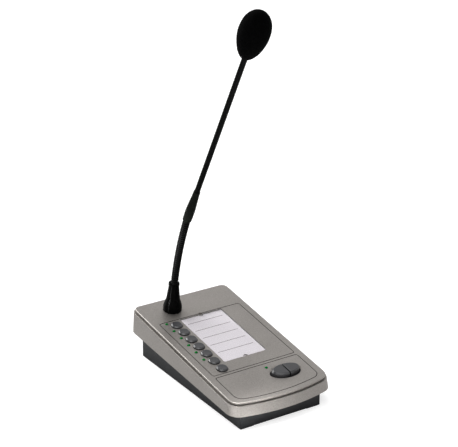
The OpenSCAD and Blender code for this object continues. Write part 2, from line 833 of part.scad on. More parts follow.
module housing_screws() {
    color("silver") for (p = posts)
        translate([p[0], p[1], post_z - post_gap - screw_seat_t])
            screw(screw_d, screw_head_d, screw_head_h, screw_seat_t + post_gap + screw_grip);
}

module ballast_plate() {
    color("dimgray") difference() {
        translate([0, -ballast_y, floor_z])
            slab(rounded_plan(ballast_w, -ballast_len / 2, ballast_len / 2, ballast_corner_r), 0, ballast_t);
        for (p = ballast_screws_at)
            translate([p[0], p[1], floor_z - PAST])
                cylinder(d = small_post_d + 2 * hole_gap, h = ballast_t + 2 * PAST);
    }
}

module ballast_screws() {
    color("silver") for (p = ballast_screws_at)
        translate([p[0], p[1], floor_z + ballast_t]) rotate([180, 0, 0])
            screw(small_screw_d, ballast_head_d, small_head_h, short_grip);
}

module main_board() {
    color("darkgreen") difference() {
        on_plate() slab(
            rounded_plan(board_w, board_front, board_back, panel_corner_r), -board_drop - board_t, -board_drop
        );
        for (p = board_posts)
            on_plate(-board_drop - board_t - PAST) translate([p[0], p[1], 0])
                cylinder(d = small_screw_d + 2 * hole_gap, h = board_t + 2 * PAST);
    }
}

module board_screws() {
    color("silver") for (p = board_posts)
        on_plate(-board_drop - board_t) translate([p[0], p[1], 0])
            screw(small_screw_d, small_head_d, small_head_h, board_t + small_grip);
}

// Header block hanging under the main board, its back face towards the lead
module board_headers() {
    color("ivory") for (x = [mic_header[0], line_header_x])
        on_plate(-board_drop - board_t - header_h) translate([x - header_w / 2, mic_header[1], 0])
            cube([header_w, header_l, header_h]);
}

module push_switch() {
    difference() {
        translate([-switch_w / 2, -switch_w / 2, -board_drop]) cube([switch_w, switch_w, switch_h]);
        translate([0, 0, plunger_low - talk_travel - key_rest_gap])
            cylinder(d = plunger_d + 2 * plunger_gap, h = board_drop);
    }
}

module plunger() {
    translate([0, 0, plunger_low]) cylinder(d = plunger_d, h = plunger_top - plunger_low);
}

module zone_switches() {
    color("black") for (i = [1:ZONE_KEYS]) at_zone_key(i) push_switch();
}

module talk_switches() {
    color("black") for (side = [-1, 1]) at_talk_switch(side) push_switch();
}

// Round lamp with a flange, a dome and two legs that reach the board
module lamp() {
    translate([0, 0, led_flange_low]) cylinder(d = led_d + 2 * led_flange_w, h = led_flange_t);
    translate([0, 0, led_flange_low]) cylinder(d = led_d, h = led_len - led_d / 2);
    translate([0, 0, led_proud - led_d / 2]) sphere(d = led_d);
    for (side = [-1, 1])
        translate([side * led_leg_pitch / 2, 0, -board_drop])
            cylinder(d = led_leg_d, h = board_drop + led_flange_low + SLICE);
}

module lamp_spacer() {
    bore = led_leg_pitch + led_leg_d + 2 * hole_gap;
    tube(bore + 2 * spacer_wall, bore, -board_drop, led_flange_low);
}

module zone_leds() {
    color("green") at_zone_leds() lamp();
}

module talk_led() {
    color("green") at_talk_led() lamp();
}

module led_spacers() {
    color("white") {
        at_zone_leds() lamp_spacer();
        at_talk_led() lamp_spacer();
    }
}

module label_card() {
    color("white") on_plate() translate([label_x, label_y, 0]) slab(window_plan(), -label_d, card_top);
}

module label_window() {
    color("aliceblue", 0.4) on_plate(card_top) translate([label_x, label_y, 0]) difference() {
        slab(window_plan(), 0, window_t);
        for (side = [-1, 1])
            translate([0, side * label_len / 2, -PAST]) cylinder(r = notch_r, h = window_t + 2 * PAST);
    }
}

// Round keycap with a dished top, a rounded edge, a retaining flange and a stem
module zone_key(i) {
    r = key_d / 2;
    edge = arc([r - key_edge_r, key_proud - key_edge_r], key_edge_r, 0, 90, 4);
    color(keycap_grey) at_zone_key(i) rotate_extrude() polygon(concat(
        [
            [0, plunger_top], [key_stem_d / 2, plunger_top],
            [key_stem_d / 2, key_flange_top - key_flange_t],
            [r + key_flange_w, key_flange_top - key_flange_t],
            [r + key_flange_w, key_flange_top], [r, key_flange_top]
        ],
        edge,
        [[r / 2, key_proud - key_dish * 0.75], [0, key_proud - key_dish]]
    ));
}

module zone_plunger(i) {
    color("gold") at_zone_key(i) plunger();
}

// Half of the bevelled oval, with a retaining flange and a stem on its switch
module talk_key(side) {
    half = talk_l + recess_rim;
    color(keycap_grey) {
        at_talk() intersection() {
            union() {
                hull() {
                    slab(oval_plan(0), talk_flange_top - SLICE, talk_proud - talk_bevel);
                    for (a = [30, 60, 90])
                        translate([0, 0, talk_proud - talk_bevel * (1 - sin(a))])
                            slab(oval_plan(-talk_bevel * (1 - cos(a))), -SLICE, 0);
                }
                slab(oval_plan(talk_flange_w), talk_flange_top - talk_flange_t, talk_flange_top);
            }
            translate([side > 0 ? talk_split / 2 : -half - talk_split / 2, -half / 2, -board_drop])
                cube([half, half, 2 * board_drop]);
        }
        at_talk_switch(side) translate([0, 0, plunger_top])
            cylinder(d = key_stem_d, h = talk_flange_top - talk_flange_t - plunger_top + SLICE);
    }
}

module talk_plunger(side) {
    color("gold") at_talk_switch(side) plunger();
}

module line_board() {
    color("darkgreen") difference() {
        translate([socket_x - line_board_w / 2, line_board_front, line_board_z])
            cube([line_board_w, line_board_l, board_t]);
        for (p = line_screws_at)
            translate([p[0], p[1], line_board_z - PAST])
                cylinder(d = small_screw_d + 2 * hole_gap, h = board_t + 2 * PAST);
    }
}

module line_board_screws() {
    color("silver") for (p = line_screws_at)
        translate([p[0], p[1], line_board_top]) rotate([180, 0, 0])
            screw(small_screw_d, small_head_d, small_head_h, board_t + short_grip);
}

// Line socket with a mouth and a latch slot, its face flush with the tray's back wall
module rear_socket() {
    color("black") difference() {
        translate([socket_x - socket_w / 2, tray_back - socket_l, line_board_top])
            cube([socket_w, socket_l, socket_h]);
        translate([socket_x - mouth_w / 2, tray_back - mouth_l, mouth_z])
            cube([mouth_w, mouth_l + PAST, mouth_h]);
        translate([socket_x - latch_w / 2, tray_back - mouth_l, latch_z])
            cube([latch_w, mouth_l + PAST, latch_h + SLICE]);
    }
}

module socket_contacts() {
    color("gold") for (i = [0:contact_count - 1])
        translate([
            socket_x + (i - (contact_count - 1) / 2) * contact_pitch - contact_t / 2,
            tray_back - mouth_l, mouth_z + mouth_h - contact_drop
        ]) cube([contact_t, contact_l, contact_drop]);
}

// Solid lead from one place to another in a plane of constant x, leaving and arriving square
module lead(from, from_lean, to, to_lean, pull) {
    from_way = [0, -sin(from_lean), cos(from_lean)];
    to_way = [0, -sin(to_lean), cos(to_lean)];
    straight = lead_d;
    a = from + straight * from_way;
    d = to - straight * to_way;
    inner = [for (i = [0:LEAD_STEPS]) bezier(a, a + pull * from_way, d - pull * to_way, d, i / LEAD_STEPS)];
    places = concat([from], inner, [to]);
    last = len(places) - 1;
    leans = [
        for (i = [0:last])
            i <= 1 ? from_lean : i >= last - 1 ? to_lean :
            let (way = places[i + 1] - places[i - 1]) atan2(-way[1], way[2])
    ];
    rings = [for (i = [0:last]) each ring(places[i], leans[i], lead_d / 2, LEAD_SIDES)];
    caps = [
        [for (k = [0:LEAD_SIDES - 1]) k],
        [for (k = [LEAD_SIDES - 1:-1:0]) last * LEAD_SIDES + k]
    ];
    walls = [for (i = [0:last - 1]) each wall_faces(i, LEAD_SIDES, false)];
    polyhedron(rings, concat(caps, walls));
}

module mic_lead() {
    from = plate_point(mic_header[0], mic_header[1] + header_l, -board_drop - board_t - header_h / 2);
    to = plate_point(-neck_x, neck_y, lead_d - bush_drop);
    color("black") lead(from, cover_tilt - 90, to, cover_tilt, header_l);
}

module line_lead() {
    from = [line_header_x, line_board_front + header_l, line_board_top];
    to = plate_point(line_header_x, mic_header[1] + header_l, -board_drop - board_t - header_h / 2);
    color("black") lead(from, 0, to, cover_tilt + 90, header_l);
}

// Flared boot, hollow over the bush and open round the neck at its rim
module neck_boot() {
    r = boot_d / 2;
    waist = boot_waist_d / 2;
    flare = [
        for (i = [0:FLARE_STEPS]) let (t = i / FLARE_STEPS)
            [waist + (r - waist) * (1 + cos(180 * t)) / 2, boot_foot_h + (boot_flare_h - boot_foot_h) * t]
    ];
    inner = bush_collar_d / 2 + boot_bush_gap;
    inner_h = bush_collar_h + boot_bush_gap;
    throat = bush_top_d / 2 + boot_bush_gap;
    rim = boot_rim_d / 2;
    rim_bore = flex_d / 2 + boot_gap;
    color(black) on_neck_axis() rotate_extrude() polygon(concat(
        [[inner, 0], [r - 0.5, 0], [r, 0.5]],
        flare,
        [
            [rim - 0.3, boot_h - 3], [rim, boot_h - 2.4], [rim, boot_h - 0.5], [rim - 0.5, boot_h],
            [rim_bore, boot_h], [throat, bush_top_h + boot_bush_gap], [throat, inner_h], [inner, inner_h]
        ]
    ));
}

module neck_bush() {
    color("goldenrod") on_neck_axis() difference() {
        union() {
            translate([0, 0, -bush_drop]) cylinder(d = bush_thread_d, h = bush_drop + bush_collar_h);
            cylinder(d = bush_collar_d, h = bush_collar_h);
            cylinder(d = bush_top_d, h = bush_top_h - flex_gap);
        }
        translate([0, 0, -bush_drop - PAST]) cylinder(d = flex_bore, h = bush_drop + bush_top_h + PAST);
    }
}

module neck_washer() {
    color("silver") on_neck_axis()
        tube(washer_d, bush_thread_d + 2 * hole_gap, -plate_t - washer_t, -plate_t);
}

module neck_nut() {
    top = -plate_t - washer_t;
    color("silver") on_neck_axis() difference() {
        translate([0, 0, top - nut_t]) cylinder(d = nut_d, h = nut_t, $fn = 6);
        translate([0, 0, top - nut_t - PAST])
            cylinder(d = bush_thread_d + 2 * thread_gap, h = nut_t + 2 * PAST);
    }
}

// One stretch of the ribbed neck: rings of crests and valleys outside, a plain bore inside
module flex(i) {
    from = i == 1 ? 0 : flex_free_from + (i - 1) * flex_stretch + flex_gap / 2;
    to = i == FLEX_STRETCHES ? flex_len + sleeve_sunk : flex_free_from + i * flex_stretch - flex_gap / 2;
    ribs = round((to - from) / rib_pitch);
    steps = 2 * ribs;
    bore_steps = ceil(ribs / 4);
    crest = flex_d / 2;
    outside = [
        for (j = [0:steps]) let (s = from + (to - from) * j / steps)
            each ring(neck_point(s), neck_lean(s), j % 2 == 0 ? crest - rib_depth : crest, FLEX_SIDES)
    ];
    inside = [
        for (j = [0:bore_steps]) let (s = from + (to - from) * j / bore_steps)
            each ring(neck_point(s), neck_lean(s), flex_bore / 2, FLEX_SIDES)
    ];
    first_bore = steps + 1;
    walls = concat(
        [for (j = [0:steps - 1]) each wall_faces(j, FLEX_SIDES, false)],
        [for (j = [0:bore_steps - 1]) each wall_faces(first_bore + j, FLEX_SIDES, true)]
    );
    ends = concat(
        end_faces(0, first_bore, FLEX_SIDES, false),
        end_faces(steps, first_bore + bore_steps, FLEX_SIDES, true)
    );
    color(black) polyhedron(concat(outside, inside), concat(walls, ends));
}

// Tapered collar that takes the ribbed neck below and the stem above
module joint_sleeve() {
    mouth = flex_d / 2 + sleeve_gap;
    seat = stem_d / 2 + stem_gap;
    full = sleeve_full_d / 2;
    tip = sleeve_tip_d / 2;
    taper = sleeve_l - sleeve_full_z;
    passage = stem_bore / 2;
    swell = [
        for (i = [0:10]) let (t = i / 10)
            [tip + (full - tip) * (1 + cos(180 * t)) / 2, sleeve_full_z + taper * t]
    ];
    color(black) on_stem() rotate_extrude() polygon(concat(
        [
            [mouth, 0], [sleeve_mouth_d / 2 - 0.2, 0], [sleeve_mouth_d / 2, 0.3],
            [(sleeve_mouth_d / 2 + full) / 2, sleeve_full_z / 2.5]
        ],
        swell,
        [
            [seat, sleeve_l], [seat, sleeve_l - stem_grip], [passage, sleeve_l - stem_grip],
            [passage, sleeve_sunk + 2 * sleeve_gap], [mouth, sleeve_sunk + 2 * sleeve_gap]
        ]
    ));
}

module upper_stem() {
    color(black) on_stem() tube(stem_d, stem_bore, sleeve_l - stem_grip, cup_z + cup_grip);
}

// Cup that holds the capsule at the end of the stem
module capsule_cup() {
    seat = stem_d / 2 + stem_gap;
    r = cup_d / 2;
    floor_h = cup_grip + cup_wall;
    color("dimgray") on_stem(cup_z) rotate_extrude() polygon([
        [seat, 0], [cup_neck_d / 2, 0], [r, r - cup_neck_d / 2], [r, cup_len],
        [r - cup_wall, cup_len], [r - cup_wall, floor_h + cup_wall], [stem_bore / 2, floor_h + cup_wall],
        [stem_bore / 2, cup_grip], [seat, cup_grip]
    ]);
}

module mic_capsule() {
    top = cup_z + cup_len - cup_wall;
    color("silver") on_stem() difference() {
        translate([0, 0, top - capsule_h]) cylinder(d = capsule_d, h = capsule_h);
        translate([0, 0, top - sound_hole_l]) {
            cylinder(d = sound_hole_d, h = sound_hole_l + PAST);
            for (k = [0:SOUND_HOLES - 1])
                rotate(360 * k / SOUND_HOLES) translate([sound_ring_r, 0, 0])
                    cylinder(d = sound_hole_d, h = sound_hole_l + PAST);
        }
    }
}

// Foam egg, fuller towards its tip, hollow over the stem and the cup
module windscreen() {
    half = foam_len / 2;
    low = stem_d / 2 + foam_gap;
    wide = cup_d / 2 + foam_gap;
    egg = [
        for (i = [1:EGG_STEPS])
            let (u = -cos(180 * i / EGG_STEPS), r = foam_d / 2 * sqrt(1 - u * u) * (1 + foam_egg * u))
            if (i == EGG_STEPS || r > low + foam_gap) [i == EGG_STEPS ? 0 : r, half * (1 + u)]
    ];
    color("black") on_stem(foam_start) rotate_extrude() polygon(concat(
        [[low, egg[0][1]]], egg,
        [
            [0, cup_start + cup_len + foam_gap], [wide, cup_start + cup_len + foam_gap],
            [wide, cup_start - foam_gap], [low, cup_start - foam_gap]
        ]
    ));
}

top_cover();
bottom_tray();
rubber_feet();
housing_screws();
ballast_plate();
ballast_screws();
main_board();
board_screws();
board_headers();
zone_switches();
talk_switches();
zone_leds();
talk_led();
led_spacers();
label_card();
label_window();
for (i = [1:ZONE_KEYS]) {
    zone_key(i);
    zone_plunger(i);
}
talk_key(-1);  // talk_key_left
talk_key(1);  // talk_key_right
talk_plunger(-1);  // talk_plunger_left
talk_plunger(1);  // talk_plunger_right
line_board();
line_board_screws();
rear_socket();
socket_contacts();
mic_lead();
line_lead();
neck_boot();
neck_bush();
neck_washer();
neck_nut();
for (i = [1:FLEX_STRETCHES])
    flex(i);
joint_sleeve();
upper_stem();
capsule_cup();
mic_capsule();
windscreen();
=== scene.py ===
import math

import bmesh
import bpy
from mathutils import Matrix, Vector, noise


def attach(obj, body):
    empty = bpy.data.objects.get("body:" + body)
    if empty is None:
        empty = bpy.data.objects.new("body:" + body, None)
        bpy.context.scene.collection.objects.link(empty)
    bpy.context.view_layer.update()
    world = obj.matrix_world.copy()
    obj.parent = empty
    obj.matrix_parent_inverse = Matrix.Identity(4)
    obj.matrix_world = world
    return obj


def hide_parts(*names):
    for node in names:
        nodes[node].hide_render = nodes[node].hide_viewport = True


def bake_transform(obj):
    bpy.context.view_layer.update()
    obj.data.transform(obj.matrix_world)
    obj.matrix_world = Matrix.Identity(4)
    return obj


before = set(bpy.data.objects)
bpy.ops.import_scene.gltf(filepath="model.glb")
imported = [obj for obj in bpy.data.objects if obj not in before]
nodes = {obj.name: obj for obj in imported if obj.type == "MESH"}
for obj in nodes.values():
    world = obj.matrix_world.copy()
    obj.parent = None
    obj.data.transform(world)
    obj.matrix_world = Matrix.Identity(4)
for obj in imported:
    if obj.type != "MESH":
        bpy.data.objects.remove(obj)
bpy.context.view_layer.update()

# Sizes in metres, as the solids have them. X and V are places on the sloping plate, V towards the back.
MM = 0.001
COVER_H = 39.1 * MM
COVER_TILT = math.radians(7.9)
LIP_DEPTH = 3.0 * MM
LIP_R = 0.6 * MM
LINE_DEPTH = 0.45 * MM
ZONE_KEYS = 7
KEY_X = -29.4 * MM
FIRST_KEY_V = 44.5 * MM
KEY_PITCH = 12.83 * MM
KEY_R = 5.2 * MM
KEY_FLANGE_R = 6.1 * MM
KEY_FLANGE_TOP = -2.55 * MM
KEY_FLANGE_LOW = -3.35 * MM
KEY_STEM_R = 2.5 * MM
KEY_STEM_LOW = -5.0 * MM
ZONE_LAMPS = 6
LAMP_SIDE = -7.1 * MM
LAMP_BACK = 6.1 * MM
LAMP_R = 1.5 * MM
LAMP_FLANGE_R = 1.9 * MM
LAMP_FLANGE_TOP = -3.5 * MM
LAMP_FLANGE_LOW = -4.5 * MM
LAMP_LEG_X = 1.27 * MM
LAMP_LEG_R = 0.25 * MM
LAMP_LEG_LOW = -10 * MM
LABEL_X = 0.8 * MM
LABEL_FRONT = -24.5 * MM
POCKET_DEPTH = 1.6 * MM
NOTCH_R = 2.2 * MM
TALK_LAMP = (6.5 * MM, -48.5 * MM)
TALK_PLACE = (19.1 * MM, -60 * MM)
TALK_HALF_L = 14 * MM
TALK_HALF_W = 7.9 * MM
TALK_PROUD = 3.2 * MM
TALK_ROUND = 1.3 * MM
TALK_SPLIT_X = 0.6 * MM
NECK_X = -18.9 * MM
NECK_V = 70.3 * MM
FLEX_SEAT_H = 10 * MM
FLEX_LEN = 93 * MM
FLEX_END_LEAN = math.radians(25.4)
FLEX_FREE_FROM = 19 * MM
FLEX_STRETCHES = 4
FLEX_SUNK = 2 * MM
FLEX_R = 3.5 * MM
FLEX_BORE_R = 2.0 * MM
RIB_PITCH = 2.25 * MM
STEM_LEAN = math.radians(28.4)
STEM_R = 2.5 * MM
FOAM_START = 193.5 * MM
FOAM_LEN = 49.3 * MM
FOAM_R = 13.2 * MM
FOAM_EGG = 0.17
FOAM_BORE_R = 2.7 * MM
HOLLOW_R = 5.0 * MM
HOLLOW_FLOOR = 9.8 * MM
HOLLOW_TOP = 31.2 * MM

# Sizes that only the looks have.
KEY_PROUD = 1.8 * MM
KEY_CHAMFER = 0.85 * MM
KEY_NOSE_R = 0.15 * MM
LAMP_PROUD = 1.0 * MM
CARD_SUNK = 0.06 * MM
WINDOW_ROUND = 0.3 * MM
TALK_CHAMFER_W = 1.3 * MM
TALK_CHAMFER_H = 1.7 * MM
TALK_RIM_ROUND = 0.3 * MM
RIB_DEPTH = 0.65 * MM
FOAM_PORE = 1.1 * MM
FOAM_PORE_DEPTH = 0.16 * MM
FOAM_LUMP = 9 * MM
FOAM_LUMP_DEPTH = 0.15 * MM

# Limits that tell the forms of a mesh apart, and the distance within which its points are welded.
HAIR = 0.01 * MM
SLACK = 0.05 * MM
WELD = 1e-7
LIP_SIDE = 49.5 * MM
LIP_END = 80 * MM
SIDE_LINE_X = 42.3 * MM
KEY_GAP_REACH = 0.7 * MM
TALK_GAP_REACH = 1.35 * MM
TALK_GAP_TOP = -1.4 * MM
CARD_MIDDLE = -1.45 * MM
FOAM_MOUTH_R = 2.9 * MM
FOAM_SMOOTH_R = 3.2 * MM
SHARP_EDGE = math.radians(32)
SHARP_CORNER = math.radians(40)

KEY_PLACES = [(KEY_X, FIRST_KEY_V - i * KEY_PITCH) for i in range(ZONE_KEYS)]
LAMP_PLACES = [(x + LAMP_SIDE, v + LAMP_BACK) for x, v in KEY_PLACES[:ZONE_LAMPS]]
ON_PLATE = Matrix.Translation((0, 0, COVER_H)) @ Matrix.Rotation(COVER_TILT, 4, "X")
TO_PLATE = ON_PLATE.inverted()
FLEX_SEAT = ON_PLATE @ Vector((NECK_X, NECK_V, FLEX_SEAT_H))
FLEX_TURN = (FLEX_END_LEAN - COVER_TILT) / FLEX_LEN


def neck_lean(s):
    """How far the neck leans to the front at a length along it."""
    return COVER_TILT + FLEX_TURN * s


def neck_point(s):
    """The middle of the neck at a length along it."""
    back = (math.cos(neck_lean(s)) - math.cos(COVER_TILT)) / FLEX_TURN
    up = (math.sin(neck_lean(s)) - math.sin(COVER_TILT)) / FLEX_TURN
    return FLEX_SEAT + Vector((0, back, up))


ON_STEM = Matrix.Translation(neck_point(FLEX_LEN)) @ Matrix.Rotation(STEM_LEAN, 4, "X")

# Materials

# A Mix node's colour sockets go by number, because its sockets for other values have the same names.
COLOUR_A = 6
COLOUR_B = 7
COLOUR_OUT = 2

# In a grained finish the grain counts twice as much as the broad mottle, which is 60 grains wide.
# Where a finish has painted shade over a height, that counts three times as much as the mottle.
GRAIN_WEIGHT = 2.0
MOTTLE_GRAINS = 60
PAINTED_SHADE_WEIGHT = 3.0


def linear(colour):
    """Linear colour of an sRGB hex value."""
    channels = [int(colour[i : i + 2], 16) / 255 for i in (1, 3, 5)]
    bent = [c / 12.92 if c <= 0.04045 else ((c + 0.055) / 1.055) ** 2.4 for c in channels]
    return (*bent, 1.0)


def add(tree, kind, settings=None, sockets=None):
    """Adds a node, with its settings, and its sockets set to values or linked to other nodes' outputs."""
    node = tree.nodes.new(kind)
    for name, value in (settings or {}).items():
        setattr(node, name, value)
    for name, value in (sockets or {}).items():
        if isinstance(value, bpy.types.NodeSocket):
            tree.links.new(value, node.inputs[name])
        else:
            node.inputs[name].default_value = value
    return node


def new_finish(name):
    """An empty material, with the place of each point in its piece's own coordinates, in metres."""
    material = bpy.data.materials.new(name)
    material.use_nodes = True
    tree = material.node_tree
    tree.nodes.clear()
    place = add(tree, "ShaderNodeTexCoord").outputs["Object"]
    return material, tree, place


def surface(tree, shader):
    add(tree, "ShaderNodeOutputMaterial", None, {"Surface": shader})


def grained(name, dark, light, grain, roughness, bump, sockets, painted_shade_over=0.0):
    """A finish with a fine grain: two shades, a roughness that varies with them, and a bump as deep as given.

    Where a height for painted shade is given, the finish goes from the dark to the light shade over that
    height.
    """
    material, tree, place = new_finish(name)
    fine = add(tree, "ShaderNodeTexNoise", None, {"Vector": place, "Scale": 1 / grain, "Detail": 2.0})
    broad = add(tree, "ShaderNodeTexNoise", None,
                {"Vector": place, "Scale": 1 / (MOTTLE_GRAINS * grain), "Detail": 3.0})
    both = add(tree, "ShaderNodeMath", {"operation": "MULTIPLY_ADD"},
               {0: fine.outputs["Fac"], 1: GRAIN_WEIGHT, 2: broad.outputs["Fac"]})
    darkest = 1.0
    palest = 2.0
    if painted_shade_over:
        height = add(tree, "ShaderNodeSeparateXYZ", None, {0: place})
        both = add(tree, "ShaderNodeMath", {"operation": "MULTIPLY_ADD"},
                   {0: height.outputs["Z"], 1: PAINTED_SHADE_WEIGHT / painted_shade_over, 2: both.outputs[0]})
        palest += PAINTED_SHADE_WEIGHT
    share = add(tree, "ShaderNodeMapRange", None,
                {"Value": both.outputs[0], "From Min": darkest, "From Max": palest})
    colour = add(tree, "ShaderNodeMix", {"data_type": "RGBA"},
                 {"Factor": share.outputs[0], COLOUR_A: linear(dark), COLOUR_B: linear(light)})
    rough = add(tree, "ShaderNodeMapRange", None,
                {"Value": share.outputs[0], "To Min": roughness[0], "To Max": roughness[1]})
    relief = add(tree, "ShaderNodeBump", None,
                 {"Height": fine.outputs["Fac"], "Strength": 0.6, "Distance": bump})
    shader = add(tree, "ShaderNodeBsdfPrincipled", None,
                 {"Base Color": colour.outputs[COLOUR_OUT], "Roughness": rough.outputs[0],
                  "Normal": relief.outputs["Normal"], **sockets})
    surface(tree, shader.outputs[0])
    return material


def silver_paint_on_abs():
    # Moulded ABS sprayed with silver paint: aluminium flake gives a soft broad gleam and a faint sparkle.
    # The flake is under 0.1 mm and is drawn at 1 mm so that it shows.
    return grained("silver_paint_on_abs", "#797571", "#8d8985", 1.0 * MM, (0.42, 0.5), 0.012 * MM,
                   {"Metallic": 0.9, "Coat Weight": 0.08, "Coat Roughness": 0.3})


def painted_line_shade():
    # Painted shade in the engraved lines, standing for the shade in them: dark, matt, a little uneven every
    # 0.4 mm or so along the line.
    return grained("painted_line_shade", "#151211", "#211d1b", 0.4 * MM, (0.6, 0.75), 0.01 * MM,
                   {"Specular IOR Level": 0.2})


def charcoal_abs():
    # Moulded ABS with a spark-eroded grain of about 0.4 mm: dull, with hardly any highlight.
    return grained("charcoal_abs", "#191a1c", "#222325", 0.4 * MM, (0.5, 0.62), 0.03 * MM,
                   {"IOR": 1.53, "Specular IOR Level": 0.12})


def tray_abs():
    # The same grained ABS on the tray, with painted shade: dark low down, going paler towards the skirt.
    return grained("tray_abs", "#0e0f10", "#4e4f51", 0.4 * MM, (0.5, 0.62), 0.03 * MM,
                   {"IOR": 1.53, "Specular IOR Level": 0.07}, painted_shade_over=25 * MM)


def key_abs():
    # Moulded ABS keycaps with a satin grain of about 0.35 mm: fingers keep it smooth, so edges catch light.
    return grained("key_abs", "#17171a", "#1e1e22", 0.35 * MM, (0.32, 0.4), 0.004 * MM, {"IOR": 1.56})


def boot_pvc():
    # Soft PVC, dip-moulded: black and waxy, run down in streaks of about 1.5 mm.
    # The streaks draw its gleam out along the boot's height, which the turned anisotropy gives.
    material, tree, place = new_finish("boot_pvc")
    along = add(tree, "ShaderNodeMapping", None, {"Vector": place, "Scale": (1.0, 1.0, 0.12)})
    streak = add(tree, "ShaderNodeTexNoise", None,
                 {"Vector": along.outputs[0], "Scale": 1 / (1.5 * MM), "Detail": 2.0})
    colour = add(tree, "ShaderNodeMix", {"data_type": "RGBA"},
                 {"Factor": streak.outputs["Fac"], COLOUR_A: linear("#000000"), COLOUR_B: linear("#020202")})
    rough = add(tree, "ShaderNodeMapRange", None,
                {"Value": streak.outputs["Fac"], "To Min": 0.34, "To Max": 0.38})
    round_axis = add(tree, "ShaderNodeTangent", {"direction_type": "RADIAL", "axis": "Z"})
    shader = add(tree, "ShaderNodeBsdfPrincipled", None,
                 {"Base Color": colour.outputs[COLOUR_OUT], "Roughness": rough.outputs[0], "IOR": 1.52,
                  "Specular IOR Level": 0.02, "Anisotropic": 0.9, "Anisotropic Rotation": 0.25,
                  "Tangent": round_axis.outputs[0]})
    surface(tree, shader.outputs[0])
    return material


def black_lacquer_on_steel():
    # Steel tube and wound steel neck in satin black lacquer, with an orange peel of about 0.8 mm.
    # It is almost black, so that only its gleam shows the ribs.
    return grained("black_lacquer_on_steel", "#040404", "#070707", 0.8 * MM, (0.3, 0.36), 0.004 * MM,
                   {"IOR": 1.5, "Specular IOR Level": 0.022})


def sleeve_nylon():
    # Moulded glass-filled nylon: black and dull, with a fine grain of about 0.3 mm.
    return grained("sleeve_nylon", "#0b0c0a", "#121411", 0.3 * MM, (0.42, 0.56), 0.01 * MM,
                   {"IOR": 1.53, "Specular IOR Level": 0.02})


def foot_rubber():
    # Moulded rubber pad: black, matt, with a fine tooth of about 0.5 mm.
    return grained("foot_rubber", "#101010", "#1c1c1c", 0.5 * MM, (0.7, 0.85), 0.03 * MM, {"IOR": 1.52})


def windscreen_foam():
    # Open-cell polyurethane foam, ground to shape, with lumps of about 4 mm.
    # Its pores of about 0.9 mm are darkened with painted shade, and their rims are a shade up.
    material, tree, place = new_finish("windscreen_foam")
    pores = add(tree, "ShaderNodeTexVoronoi", None, {"Vector": place, "Scale": 1 / (0.9 * MM)})
    lumps = add(tree, "ShaderNodeTexNoise", None, {"Vector": place, "Scale": 1 / (4 * MM), "Detail": 4.0})
    depth = add(tree, "ShaderNodeMath", {"operation": "MULTIPLY"},
                {0: pores.outputs["Distance"], 1: lumps.outputs["Fac"]})
    colour = add(tree, "ShaderNodeMix", {"data_type": "RGBA"},
                 {"Factor": depth.outputs[0], COLOUR_A: linear("#010101"), COLOUR_B: linear("#060607")})
    relief = add(tree, "ShaderNodeBump", None,
                 {"Height": depth.outputs[0], "Strength": 0.9, "Distance": 0.35 * MM})
    shader = add(tree, "ShaderNodeBsdfPrincipled", None,
                 {"Base Color": colour.outputs[COLOUR_OUT], "Roughness": 0.95, "Specular IOR Level": 0.02,
                  "Normal": relief.outputs["Normal"]})
    surface(tree, shader.outputs[0])
    return material


def lamp_epoxy():
    # Cast epoxy lamp body, tinted green: unlit, darker in clouds of about 1.6 mm, with a clean gloss.
    material, tree, place = new_finish("lamp_epoxy")
    depth = add(tree, "ShaderNodeTexNoise", None, {"Vector": place, "Scale": 1 / (1.6 * MM)})
    colour = add(tree, "ShaderNodeMix", {"data_type": "RGBA"},
                 {"Factor": depth.outputs["Fac"], COLOUR_A: linear("#01501c"), COLOUR_B: linear("#02762e")})
    shader = add(tree, "ShaderNodeBsdfPrincipled", None,
                 {"Base Color": colour.outputs[COLOUR_OUT], "Roughness": 0.18, "IOR": 1.55,
                  "Specular IOR Level": 0.04, "Subsurface Weight": 0.15,
                  "Subsurface Radius": (0.4 * MM, 1.0 * MM, 0.4 * MM)})
    surface(tree, shader.outputs[0])
    return material


